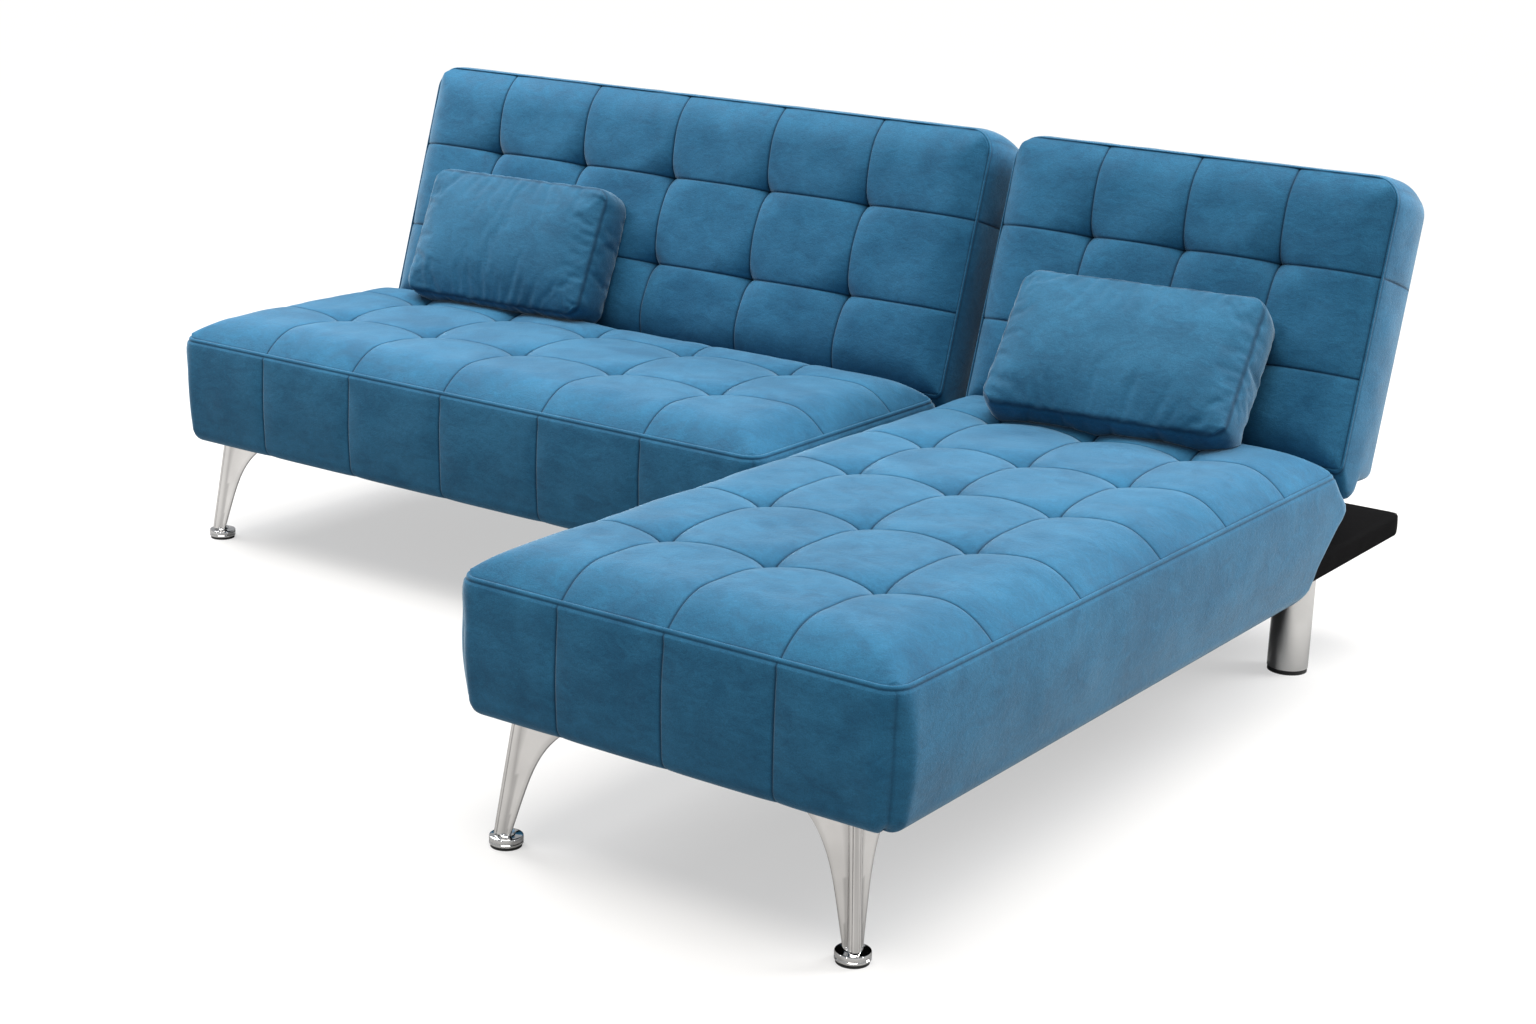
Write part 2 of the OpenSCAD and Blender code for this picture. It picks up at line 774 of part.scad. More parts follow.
support_frame(CHAISE);  // chaise_support_frame
support_cover(CHAISE);  // chaise_support_cover
front_legs(CHAISE);  // chaise_front_legs
leg_plates(CHAISE);  // chaise_leg_plates
glides(CHAISE);  // chaise_glides
rear_legs(CHAISE);  // chaise_rear_legs
leg_screws(CHAISE);  // chaise_leg_screws
pillow_cover(CHAISE_PILLOW);  // chaise_pillow_cover
pillow_insert(CHAISE_PILLOW);  // chaise_pillow_insert
pillow_zip(CHAISE_PILLOW);  // chaise_pillow_zip
connector_hooks();
connector_sockets();
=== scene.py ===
import json
import math

import bpy
import numpy as np
from mathutils import Matrix, Vector


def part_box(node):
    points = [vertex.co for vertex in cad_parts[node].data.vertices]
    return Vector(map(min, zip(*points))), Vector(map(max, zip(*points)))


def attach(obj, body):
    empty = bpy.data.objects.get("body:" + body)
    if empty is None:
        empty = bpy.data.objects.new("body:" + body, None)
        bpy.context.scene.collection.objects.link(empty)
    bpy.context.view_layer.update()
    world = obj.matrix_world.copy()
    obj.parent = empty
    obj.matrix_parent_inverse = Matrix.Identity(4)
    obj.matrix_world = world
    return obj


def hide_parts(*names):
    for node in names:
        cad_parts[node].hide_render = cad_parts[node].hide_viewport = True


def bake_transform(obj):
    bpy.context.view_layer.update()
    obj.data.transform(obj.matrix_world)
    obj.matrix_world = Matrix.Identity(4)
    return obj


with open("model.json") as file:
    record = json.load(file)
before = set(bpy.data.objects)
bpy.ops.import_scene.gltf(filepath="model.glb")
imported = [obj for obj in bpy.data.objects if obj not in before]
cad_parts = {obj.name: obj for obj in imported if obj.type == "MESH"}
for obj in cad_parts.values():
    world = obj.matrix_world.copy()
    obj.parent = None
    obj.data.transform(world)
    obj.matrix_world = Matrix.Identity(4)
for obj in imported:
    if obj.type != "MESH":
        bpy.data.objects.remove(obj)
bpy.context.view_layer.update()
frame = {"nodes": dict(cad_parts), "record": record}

scene = bpy.context.scene
MM = 0.001

# A corner sofa bed in two units, a sofa and a chaise. Each has a tufted seat, a click-clack back, a loose
# pillow, two cast front legs, and a low black support behind it on round legs.

# ---------------------------------------------------------------- places, all in metres in the part's frame

SOFA_LO, SOFA_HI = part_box("sofa_seat_cover")
CHAISE_LO, CHAISE_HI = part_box("chaise_seat_cover")
# Where the seats' top rim and bottom are, and the line along their rear that the backs stand behind
SEAT_TOP = 0.400
SEAT_LOW = SOFA_LO.z
SEAT_H = SEAT_TOP - SEAT_LOW
REAR_Y = 0.513
# A back's lean at rest, its gap behind the rear line, its height along the lean and its thickness
LEAN = math.radians(17)
BACK_SETBACK = 0.007
BACK_LEN = 0.505
BACK_T = 0.145

# A unit is its seat's left side, width and front, its back's left side and width, the lines that its tufting
# seams run along, and the seed of its noise
UNITS = {
    "sofa": {
        "x": SOFA_LO.x, "w": SOFA_HI.x - SOFA_LO.x, "front": SOFA_LO.y,
        "back_x": SOFA_LO.x + 0.020, "back_w": SOFA_HI.x - SOFA_LO.x - 0.020,
        "cols": [-0.856, -0.631, -0.404, -0.173, 0.055],
        "rows": [0.148, 0.364],
        "seed": 10,
    },
    "chaise": {
        "x": CHAISE_LO.x, "w": CHAISE_HI.x - CHAISE_LO.x, "front": CHAISE_LO.y,
        "back_x": CHAISE_LO.x, "back_w": CHAISE_HI.x - CHAISE_LO.x,
        "cols": [0.534, 0.716, 0.898],
        "rows": [-0.627, -0.383, -0.135, 0.089, 0.309],
        "seed": 40,
    },
}
# The backs' rows of tufting, up from the foot
BACK_ROWS = [0.160, 0.334]
# Spacing of the grid on a tufted face between its seams
GRID = 7 * MM

# ---------------------------------------------------------------- numbers as smooth shapes


def smooth(t):
    t = np.clip(t, 0, 1)
    return t * t * (3 - 2 * t)


def noise(x, y, cell, seed):
    """Smooth noise between -1 and 1 over a plane, with hills about a cell wide."""
    table = np.random.default_rng(seed).uniform(-1, 1, (64, 64))
    gx, gy = x / cell, y / cell
    ix, iy = np.floor(gx).astype(int), np.floor(gy).astype(int)
    fx, fy = smooth(gx - ix), smooth(gy - iy)
    low = table[ix % 64, iy % 64] * (1 - fx) + table[(ix + 1) % 64, iy % 64] * fx
    high = table[ix % 64, (iy + 1) % 64] * (1 - fx) + table[(ix + 1) % 64, (iy + 1) % 64] * fx
    return low * (1 - fy) + high * fy


def nearest(x, lines):
    """Distance from each x to the nearest line."""
    return np.min([np.abs(x - c) for c in lines], axis=0)


def groove(d, width):
    """1 on a line, and almost 0 beyond twice its width."""
    return np.exp(-((d / width) ** 2))


def fade(d, reach):
    """1 on a line, dying away slowly over a reach."""
    return np.exp(-d / reach)


# ---------------------------------------------------------------- meshes


def make_mesh(name, verts, faces, seam=None, flat=False):
    """An object of points and faces. Its seam attribute tells, from 0 to 1, how much of a seam a point is,
    where the velvet paints shade; a cast leg keeps its levels of painted shade in it.
    """
    me = bpy.data.meshes.new(name)
    me.from_pydata(np.asarray(verts, float).tolist(), [], faces)
    if not flat:
        me.polygons.foreach_set("use_smooth", [True] * len(me.polygons))
    if seam is not None:
        me.attributes.new("seam", "FLOAT", "POINT").data.foreach_set("value", np.asarray(seam, np.float32))
    me.update()
    obj = bpy.data.objects.new(name, me)
    scene.collection.objects.link(obj)
    return obj


def seam_of(obj):
    values = np.empty(len(obj.data.vertices), np.float32)
    obj.data.attributes["seam"].data.foreach_get("value", values)
    return values


def points_of(obj, key="co"):
    """The places of an object's points, or their normals, in rows."""
    values = np.empty(len(obj.data.vertices) * 3)
    obj.data.vertices.foreach_get(key, values)
    return values.reshape(-1, 3)


def grid_faces(index, flip=False):
    a, b, c, d = index[:-1, :-1], index[1:, :-1], index[1:, 1:], index[:-1, 1:]
    order = (d, c, b, a) if flip else (a, b, c, d)
    return np.stack(order, axis=-1).reshape(-1, 4).tolist()


def even_lines(total, step):
    return np.linspace(0, total, round(total / step))


def grid_lines(total, seams, step):
    """Lines over a length, even between the seams and close together beside each seam and end."""
    near = np.array([0, 1.2, 2.6, 5.0, 9.0]) * MM
    stops = [0.0, *seams, total]
    out = []
    for a, b in zip(stops, stops[1:]):
        count = max(2, round((b - a - 2 * near[-1]) / step) + 1)
        out += list(a + near[:-1]) + list(np.linspace(a + near[-1], b - near[-1], count))
        out += list(b - near[1:-1][::-1])
    return np.array(out + [total])


def round_corners(u, v, w, l, radii):
    """Moves a rectangle's grid so that its corners are round. The radii go anticlockwise from u = v = 0."""
    u, v = u.copy(), v.copy()
    for (right, rear), r in zip([(0, 0), (1, 0), (1, 1), (0, 1)], radii):
        a = ((u - (w - r)) if right else (r - u)) / r
        b = ((v - (l - r)) if rear else (r - v)) / r
        inside = (a > 0) & (b > 0)
        a2 = a * np.sqrt(np.maximum(1 - b * b / 2, 0))
        b2 = b * np.sqrt(np.maximum(1 - a * a / 2, 0))
        u = np.where(inside, (w - r + a2 * r) if right else (r - a2 * r), u)
        v = np.where(inside, (l - r + b2 * r) if rear else (r - b2 * r), v)
    return u, v


def rim(nu, nv):
    """The grid's rim as index pairs, anticlockwise from u = v = 0."""
    front = [(i, 0) for i in range(nu)]
    right = [(nu - 1, j) for j in range(1, nv)]
    rear = [(i, nv - 1) for i in range(nu - 2, -1, -1)]
    left = [(0, j) for j in range(nv - 2, 0, -1)]
    return np.array(front + right + rear + left)


def rim_normals(u, v, w, l, radii):
    """Outward directions at the rim's points."""
    out = np.zeros((len(u), 2))
    for k, (a, b) in enumerate(zip(u, v)):
        best = None
        for (right, rear), r in zip([(0, 0), (1, 0), (1, 1), (0, 1)], radii):
            du = a - (w - r) if right else r - a
            dv = b - (l - r) if rear else r - b
            if du > -1e-9 and dv > -1e-9:
                best = ((du if right else -du), (dv if rear else -dv))
        if best is None:
            gaps = {(0, -1): b, (1, 0): w - a, (0, 1): l - b, (-1, 0): a}
            best = min(gaps, key=gaps.get)
        out[k] = np.array(best) / (math.hypot(*best) or 1)
    return out


def slab(name, w, l, radii, u_lines, v_lines, face, rings, place, twin=None, closed=True):
    """A stuffed slab: a face over a rounded rectangle, boxing in rings round its rim, and a closed rear.

    face(u, v) gives height and seam, and rings(u, v, normal) gives a list of (out, depth, seam). place turns
    (u, v, height) into the part's frame. twin(u, v) gives a rear face of its own. A slab that isn't closed is
    one layer of cloth.
    """
    gu, gv = np.meshgrid(u_lines, v_lines, indexing="ij")
    gu, gv = round_corners(gu, gv, w, l, radii)
    h, s = face(gu, gv)
    nu, nv = gu.shape
    index = np.arange(nu * nv).reshape(nu, nv)
    pairs = rim(nu, nv)
    ru, rv = gu[pairs[:, 0], pairs[:, 1]], gv[pairs[:, 0], pairs[:, 1]]
    normal = rim_normals(ru, rv, w, l, radii)
    points = [np.stack([gu.ravel(), gv.ravel(), h.ravel()], -1)]
    seams = [s.ravel()]
    faces = grid_faces(index)
    loop = index[pairs[:, 0], pairs[:, 1]]
    count = nu * nv
    for out, depth, seam in rings(ru, rv, normal):
        out, depth, seam = (np.broadcast_to(x, ru.shape) for x in (out, depth, seam))
        points.append(np.stack([ru + normal[:, 0] * out, rv + normal[:, 1] * out, -depth], -1))
        seams.append(seam)
        new = count + np.arange(len(ru))
        nxt, nxt_new = np.roll(loop, -1), np.roll(new, -1)
        faces += np.stack([loop, new, nxt_new, nxt], -1).tolist()
        loop, count = new, count + len(ru)
    if twin is None and closed:
        faces.append(loop[::-1].tolist())
    if twin is not None:
        h2, s2 = twin(gu, gv)
        rear = np.arange(count, count + nu * nv).reshape(nu, nv)
        points.append(np.stack([gu.ravel(), gv.ravel(), h2.ravel()], -1))
        seams.append(s2.ravel())
        faces += grid_faces(rear, flip=True)
        end = rear[pairs[:, 0], pairs[:, 1]]
        faces += np.stack([loop, end, np.roll(end, -1), np.roll(loop, -1)], -1).tolist()
    local = np.concatenate(points)
    return make_mesh(name, place(local), faces, np.concatenate(seams))


# ---------------------------------------------------------------- tufting


def inner(u, w, v, l):
    """Distance from a rectangle's edge, with its corners rounded off."""
    side = np.maximum(np.minimum(u, w - u), 1e-6)
    end = np.maximum(np.minimum(v, l - v), 1e-6)
    return (side ** -4 + end ** -4) ** -0.25


def tufted(u, v, w, l, cols, rows, crown, run, dimple, seed):
    """Height and seam of a tufted face, the seam being where the velvet paints shade.

    It rises to its crown over a run from the rim. The panels swell between the seams, which dive to a dimple
    where they cross.
    """
    h = crown * (1 - (1 - np.clip(inner(u, w, v, l) / run, 0, 1)) ** 2.4)
    # A wide dip and a narrow pit at each crossing, held in along the diagonals
    pin = np.full(u.shape, 9.0)
    for c in cols:
        for r in rows:
            dx, dy = u - c, v - r
            rr = np.hypot(dx, dy)
            puff = np.abs(2 * dx * dy) / np.maximum(rr * rr, 1e-9)
            reach = rr * (1 + 0.30 * puff)
            wide = (1 - np.clip(reach / 0.100, 0, 1)) ** 2
            h = h - dimple * (0.62 * wide + 0.38 * fade(reach, 0.011))
            pin = np.minimum(pin, rr)
    # The seams cut deeper near a crossing
    deep = 1 + 1.8 * fade(pin, 0.030)
    seam = np.zeros(u.shape)
    for d in (nearest(u, cols), nearest(v, rows)):
        h = h - deep * (2.6 * MM * fade(d, 0.012)) - 1.7 * MM * groove(d, 0.0014)
        # The seam value marks each groove for painted shade
        seam = np.maximum(seam, groove(d, 0.0018))
    # Unevenness of the stuffing, and gathers along the rim
    soft = 1 - fade(np.minimum(nearest(u, cols), nearest(v, rows)), 0.03)
    h = h + soft * (1.5 * MM * noise(u, v, 0.075, seed) + 0.7 * MM * noise(u, v, 0.028, seed + 1))
    ends, sides = np.minimum(v, l - v), np.minimum(u, w - u)
    pucker = noise(u, v * 0.18, 0.0075, seed + 2) * fade(ends, 0.022)
    pucker = pucker + noise(v, u * 0.18, 0.0075, seed + 3) * fade(sides, 0.022)
    rim_gap = np.minimum(ends, sides)
    h = h + 0.45 * MM * pucker * (1 - fade(rim_gap, 0.003))
    rim_seam = groove(rim_gap, 0.0014)
    return h, np.maximum(seam, rim_seam)


# ---------------------------------------------------------------- seats

WELT_IN = 9 * MM
# The flat welt between two stitched grooves along a seat's top edge: out from the face's rim, up, seam.
# The seam value paints shade into the grooves and the recess below the welt.
SEAT_WELT = [
    (0.5, 1.2, 0.45), (1.5, 2.0, 0), (3.0, 2.0, 0), (4.4, 1.0, 0), (5.2, -0.8, 0.1), (5.6, -2.4, 0.4),
    (5.3, -3.6, 0.75), (6.6, -5.2, 0.2), (8.7, -7.6, 0.0), (9.2, -9.0, 0.0),
]
# How far out, and how deep, the boxing under the welt begins, and the radius of its roll to the underside
BOXING_OUT = 9.2 * MM
BOXING_TOP = 9 * MM
SEAT_ROLL = 30 * MM
# A seat's corners in plan, anticlockwise from its front left
SEAT_CORNERS = [28 * MM, 28 * MM, 20 * MM, 20 * MM]
# How far a seat's rear runs behind its rear line, over the depth below its top edge, both in mm, and the
# length of seat that shares in it
SEAT_REAR = [
    (0, 0), (12, 5), (26, 14), (40, 26), (52, 38), (60, 44), (68, 44), (76, 36), (86, 16), (96, 1),
    (115, -22), (138, -46), (150, -54), (170, -58), (180, -64), (190, -78), (206, -103),
]
REAR_REACH = 0.15


def seat_face(name):
    """A seat's size inside its welts, its seam lines, and its tufted top."""
    unit = UNITS[name]
    w, l = unit["w"] - 2 * WELT_IN, REAR_Y - unit["front"] - 2 * WELT_IN
    cols = [c - unit["x"] - WELT_IN for c in unit["cols"]]
    rows = [r - unit["front"] - WELT_IN for r in unit["rows"]]

    def face(u, v):
        return tufted(u, v, w, l, cols, rows, crown=45 * MM, run=95 * MM, dimple=19 * MM, seed=unit["seed"])

    return w, l, cols, rows, face


def seat_boxing(cols, l, seed):
    """The rings of a seat's sides, from its welt down and round to its underside."""
    straight = SEAT_H - SEAT_ROLL

    def rings(u, v, n):
        front = np.clip(-n[:, 1], 0, 1) ** 2
        rear = np.clip(n[:, 1], 0, 1) ** 2
        along = np.where(np.abs(n[:, 1]) > 0.7, u, v)
        panel = fade(nearest(u, cols), 0.016) * front
        line = groove(nearest(u, cols), 0.0015) * front
        mark = groove(nearest(u, cols), 0.0018) * front
        round_in = 4 * (n[:, 0] * n[:, 1]) ** 2 * (n[:, 1] < 0)
        # The soft fold down each front corner, with painted shade along it
        corner = np.abs(np.abs(n[:, 0]) - np.abs(n[:, 1])) * 0.016 + np.where(n[:, 1] < -0.05, 0, 1)
        fold = 0.6 * groove(corner, 0.0014)
        fold_shade = 0.4 * groove(corner, 0.0018)
        # The fold where the side boxing ends and the gathered cloth behind it begins, dented in and given
        # painted shade
        end_fold = (np.abs(v - (l - 7 * MM)) < 2.5 * MM) * n[:, 0] ** 2
        out = []
        # Each ring's seam value paints shade along the seam lines and folds
        for o, up, s in SEAT_WELT:
            k = smooth((-up - 3) / 3)
            out.append((o * MM - k * 1.2 * MM * np.maximum(line, fold), -up * MM,
                        np.maximum(s, k * np.maximum(mark, fold_shade))))
        for t in np.linspace(0, 1, 18)[1:]:
            depth = BOXING_TOP + (straight - BOXING_TOP) * t
            swell = np.sin(math.pi * min(t * 1.02, 1)) ** 0.8
            bulge = (8.5 - 2.5 * front) * MM * swell * (1 - rear)
            bulge = bulge - 5.0 * MM * panel * (0.35 + 0.65 * swell) - 1.5 * MM * np.maximum(line, fold)
            bulge = bulge - 8 * MM * round_in * smooth(t * 2.5)
            bulge = bulge + 1.3 * MM * noise(along, along * 0 + depth, 0.06, seed + 5) * swell
            gather = noise(along, along * 0 + depth * 0.2, 0.009, seed + 6) * math.exp(-t * 9)
            bulge = bulge + 0.5 * MM * gather
            behind = end_fold * smooth((depth - 0.010) / 0.02) * smooth((0.105 - depth) / 0.02)
            seam = np.maximum(np.maximum(mark, fold_shade), behind)
            out.append((BOXING_OUT + bulge - 2.5 * MM * behind, depth, seam))
        for a in np.linspace(0, 90, 10)[1:]:
            a = math.radians(a)
            turn = (1 - 0.9 * rear + 0.75 * round_in) * SEAT_ROLL * (1 - math.cos(a)) + 8 * MM * round_in
            left = math.cos(a)
            dip = (1.8 * panel + 1.5 * np.maximum(line, 0.4 * fold)) * MM
            depth = straight + SEAT_ROLL * math.sin(a) - dip * (1 - left)
            out.append((BOXING_OUT - turn - dip * left, depth, np.maximum(mark, fold_shade) * left))
        out.append((-36 * MM * (1 - 0.5 * rear + 0.3 * round_in), SEAT_H, 0.0))
        out.append((-38 * MM * (1 - 0.5 * rear + 0.3 * round_in), SEAT_H - 5 * MM, 0.6))
        return out

    return rings


def seat(name):
    """A seat: its tufted top, a flat welt, boxing in panels, and a rear that slopes down to the hinge."""
    unit = UNITS[name]
    w, l, cols, rows, face = seat_face(name)

    def place(p):
        u, v, n = p.T
        depth = np.maximum(-n, 0) / MM
        shift = np.interp(depth, *np.array(SEAT_REAR, float).T) * MM
        v = v + shift * smooth((v - (l - REAR_REACH)) / REAR_REACH)
        return np.stack([u + unit["x"] + WELT_IN, v + unit["front"] + WELT_IN, n + SEAT_TOP], -1)

    u_lines, v_lines = grid_lines(w, cols, GRID), grid_lines(l, rows, GRID)
    rings = seat_boxing(cols, l, unit["seed"])
    obj = slab(name + "_seat_cushion", w, l, SEAT_CORNERS, u_lines, v_lines, face, rings, place)
    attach(obj, "base")
    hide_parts(name + "_seat_cover", name + "_seat_foam")
    return obj


# ---------------------------------------------------------------- backs

BACK_IN = 5 * MM
# The narrow welt round a back's face: out from the face's rim, up, seam. The seam value paints shade into its
# grooves.
BACK_WELT = [
    (0.5, 0.8, 0.5), (1.3, 1.2, 0), (2.4, 0.8, 0), (3.3, -0.6, 0), (3.6, -2.0, 0.35), (3.2, -3.2, 0.9),
    (4.2, -5.0, 0.3), (5.2, -9.0, 0),
]
# How far out a back's boxing stands, the radius of its rear edge, and what its seed adds to the unit's
BACK_OUT = 5.2 * MM
BACK_EDGE = 20 * MM
BACK_SEED = 20
# A back's corners, anticlockwise from its lower left as seen from the front
BACK_CORNERS = [12 * MM, 12 * MM, 44 * MM, 44 * MM]
# How far a back's foot hangs below its face's lower edge, over the depth behind the face, both in mm, and the
# height of back that shares in it
BACK_FOOT = [(0, 0), (28, 38), (45, 43), (55, 38), (62, 12), (130, 0), (145, -25)]
FOOT_REACH = 0.075


def lean(x, out, up):
    """Points of a back at rest, from how far they lie behind its front plane and how far up along it."""
    y = REAR_Y + BACK_SETBACK + out * math.cos(LEAN) + up * math.sin(LEAN)
    z = SEAT_TOP + up * math.cos(LEAN) - out * math.sin(LEAN)
    return np.stack([x, y, z], -1)


def back_place(name):
    unit = UNITS[name]

    def place(p):
        u, v, n = p.T
        depth = np.maximum(-n, 0) / MM
        drop = np.interp(depth, *np.array(BACK_FOOT, float).T) * MM
        v = v - drop * (1 - smooth(v / FOOT_REACH))
        return lean(u + unit["back_x"] + BACK_IN, -n, v + BACK_IN)

    return place


def back_face(name):
    """A back's size inside its welts, its seam lines, and its tufted face."""
    unit = UNITS[name]
    w, l = unit["back_w"] - 2 * BACK_IN, BACK_LEN - 2 * BACK_IN
    cols = [c - unit["back_x"] - BACK_IN for c in unit["cols"]]
    rows = [r - BACK_IN for r in BACK_ROWS]
    seed = unit["seed"] + BACK_SEED

    def face(u, v):
        return tufted(u, v, w, l, cols, rows, crown=27 * MM, run=80 * MM, dimple=23 * MM, seed=seed)

    return w, l, cols, rows, face


def back_boxing(seam_v, seed):
    """The rings of a back's sides, from its welt to its rear. Each side has a seam across it at seam_v."""
    straight = BACK_T - BACK_EDGE

    def rings(u, v, n):
        top = np.clip(n[:, 1], 0, 1) ** 2
        foot = np.clip(-n[:, 1], 0, 1) ** 2
        side = n[:, 0] ** 2
        along = np.where(np.abs(n[:, 1]) > 0.7, u, v)
        row = groove(v - seam_v, 0.0016) * side
        row_mark = groove(v - seam_v, 0.0019) * side
        row_dip = fade(np.abs(v - seam_v), 0.02) * side
        # The seam where the side boxing meets the top boxing, round each upper corner
        joint = np.abs(np.abs(n[:, 0]) - 0.80) * 0.06 + np.where(n[:, 1] > 0.05, 0, 1)
        joint_line = groove(joint, 0.0016)
        joint_mark = 0.7 * groove(joint, 0.0019)
        out = []
        # Each ring's seam value paints shade along the seam lines
        for o, up, s in BACK_WELT:
            k = smooth((-up - 3) / 3)
            out.append((o * MM - k * MM * np.maximum(row, joint_line), -up * MM,
                        np.maximum(s, k * np.maximum(row_mark, joint_mark))))
        for t in np.linspace(0, 1, 16)[1:]:
            depth = BOXING_TOP + (straight - BOXING_TOP) * t
            swell = math.sin(math.pi * min(t, 1)) ** 0.8
            bulge = (6 * side + 7 * top) * MM * swell
            bulge = bulge - 3.5 * MM * row_dip * swell - 1.4 * MM * np.maximum(row, joint_line)
            bulge = bulge + 1.4 * MM * noise(along, along * 0 + depth, 0.05, seed + 5) * swell * (1 - foot)
            gather = noise(along, along * 0 + depth * 0.2, 0.010, seed + 6) * math.exp(-t * 8)
            bulge = bulge + 0.5 * MM * gather
            out.append((BACK_OUT + bulge, depth, np.maximum(row_mark, joint_mark)))
        for a in np.linspace(0, 90, 7)[1:]:
            a = math.radians(a)
            out.append((BACK_OUT - BACK_EDGE * (1 - math.cos(a)), straight + BACK_EDGE * math.sin(a),
                        np.maximum(row_mark, joint_mark) * math.cos(a)))
        out.append((-18 * MM, BACK_T, 0.3))
        out.append((-20 * MM, BACK_T - 5 * MM, 0.9))
        return out

    return rings


def back(name):
    """A back: its tufted face, a narrow welt, and boxing whose sides have a seam at the upper row."""
    w, l, cols, rows, face = back_face(name)
    u_lines, v_lines = grid_lines(w, cols, GRID), grid_lines(l, rows, GRID)
    rings = back_boxing(rows[1], UNITS[name]["seed"] + BACK_SEED)
    obj = slab(name + "_back_cushion", w, l, BACK_CORNERS, u_lines, v_lines, face, rings, back_place(name))
    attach(obj, name + "_back")
    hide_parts(name + "_back_cover", name + "_back_foam")
    return obj


def rear_panel(name):
    """The upholstered panel that closes the rear of a back, sewn in all round."""
    unit = UNITS[name]
    inset = 21 * MM
    w = unit["back_w"] - 2 * inset
    low, high = 34 * MM, BACK_LEN - 20 * MM
    l = high - low
    seed = unit["seed"] + 60

    def face(u, v):
        d = np.minimum(np.minimum(u, w - u), np.minimum(v, l - v))
        h = 2 * MM * (1 - fade(d, 0.035))
        h = h + 0.8 * MM * noise(u, v, 0.09, seed) * smooth(d / 0.05)
        h = h + 0.6 * MM * noise(u, v * 0.2, 0.012, seed + 1) * fade(d, 0.02)
        return h, groove(d, 0.002)

    def place(p):
        u, v, n = p.T
        return lean(unit["back_x"] + unit["back_w"] - inset - u, BACK_T - 4 * MM + n, v + low)

    rings = lambda u, v, n: [(0.8 * MM, 1.5 * MM, 1.0), (0.4 * MM, 5 * MM, 1.0)]
    obj = slab(name + "_back_rear_panel", w, l, [30 * MM] * 4, grid_lines(w, [w / 2], 9 * MM),
               grid_lines(l, [l / 2], 9 * MM), face, rings, place)
    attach(obj, name + "_back")
    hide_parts(name + "_back_panel")
    return obj


# ---------------------------------------------------------------- pillows

# A pillow's thickness at its seams, the spacing of its grid, and its gap from what it presses on
PILLOW_T = 0.094
PILLOW_GRID = 0.0065
PRESS_GAP = 1.5 * MM
# A pillow is its centre, width, height, and its lean and turn to the left in degrees
PILLOWS = {
    "sofa": {"at": (-0.695, 0.481, 0.561), "w": 0.428, "l": 0.260, "lean": 25, "turn": 4, "seed": 70},
    "chaise": {"at": (0.718, 0.430, 0.548), "w": 0.440, "l": 0.270, "lean": 41, "turn": 6, "seed": 90},
}


def inflate(obj, seam, pressure, frames, cap):
    """Stuffs a closed piece: a cloth simulation with air pressure, cut a little full, held along its seams.

    No point moves farther than cap.
    """
    group = obj.vertex_groups.new(name="seams")
    group.add(np.nonzero(seam > 0.9)[0].tolist(), 1.0, "REPLACE")
    mod = obj.modifiers.new("stuffing", "CLOTH")
    cloth = mod.settings
    cloth.quality = 6
    cloth.mass = 0.12
    cloth.tension_stiffness = cloth.compression_stiffness = 20
    cloth.shear_stiffness = 8
    cloth.bending_stiffness = 0.10
    cloth.tension_damping = cloth.compression_damping = 6
    cloth.use_pressure = True
    cloth.uniform_pressure_force = pressure
    cloth.shrink_min = cloth.shrink_max = -0.022
    cloth.vertex_group_mass = group.name
    cloth.pin_stiffness = 1.0
    cloth.effector_weights.gravity = 0
    mod.collision_settings.use_collision = False
    mod.point_cache.frame_start, mod.point_cache.frame_end = 1, frames
    start = points_of(obj)
    for f in range(1, frames + 1):
        scene.frame_set(f)
    end = points_of(obj.evaluated_get(bpy.context.evaluated_depsgraph_get()))
    obj.modifiers.remove(mod)
    obj.vertex_groups.remove(group)
    scene.frame_set(1)
    move = end - start
    length = np.maximum(np.linalg.norm(move, axis=1, keepdims=True), 1e-9)
    end = start + move / length * cap * np.tanh(length / cap)
    obj.data.vertices.foreach_set("co", end.ravel())
    obj.data.update()


def sink_seams(obj, depth):
    """Pulls the seams' points inwards, and narrows the seams' lines of painted shade."""
    seam = seam_of(obj)
    co = points_of(obj) - points_of(obj, "normal") * (depth * (seam > 0.8))[:, None]
    obj.data.vertices.foreach_set("co", co.ravel())
    narrow = np.where(seam > 0.8, 1, 0.25 * seam).astype(np.float32)
    obj.data.attributes["seam"].data.foreach_set("value", narrow)
    obj.data.update()


def subdivide(obj):
    mod = obj.modifiers.new("smooth", "SUBSURF")
    mod.levels = mod.render_levels = 1
    mesh = bpy.data.meshes.new_from_object(obj.evaluated_get(bpy.context.evaluated_depsgraph_get()))
    obj.modifiers.clear()
    old, obj.data = obj.data, mesh
    bpy.data.meshes.remove(old)
    obj.data.name = obj.name


def above_seat(name, p):
    """Lifts points that lie in a seat onto its top."""
    unit = UNITS[name]
    u, v = p[:, 0] - unit["x"], p[:, 1] - unit["front"]
    face = seat_face(name)[-1]
    top = SEAT_TOP + face(u - WELT_IN, v - WELT_IN)[0] + PRESS_GAP
    lift = np.where((v < REAR_Y - unit["front"]) & (p[:, 2] < top), top - p[:, 2], 0)
    p[:, 2] += lift
    return p


def before_back(name, p):
    """Moves points that lie in a back out to its face."""
    unit = UNITS[name]
    face = back_face(name)[-1]
    y, z = p[:, 1] - REAR_Y - BACK_SETBACK, p[:, 2] - SEAT_TOP
    out = -(y * math.cos(LEAN) - z * math.sin(LEAN))
    up = y * math.sin(LEAN) + z * math.cos(LEAN)
    front = face(p[:, 0] - unit["back_x"] - BACK_IN, up - BACK_IN)[0] + PRESS_GAP
    push = np.where((up > 0) & (out < front), front - out, 0)
    p[:, 1] -= push * math.cos(LEAN)
    p[:, 2] += push * math.sin(LEAN)
    return p


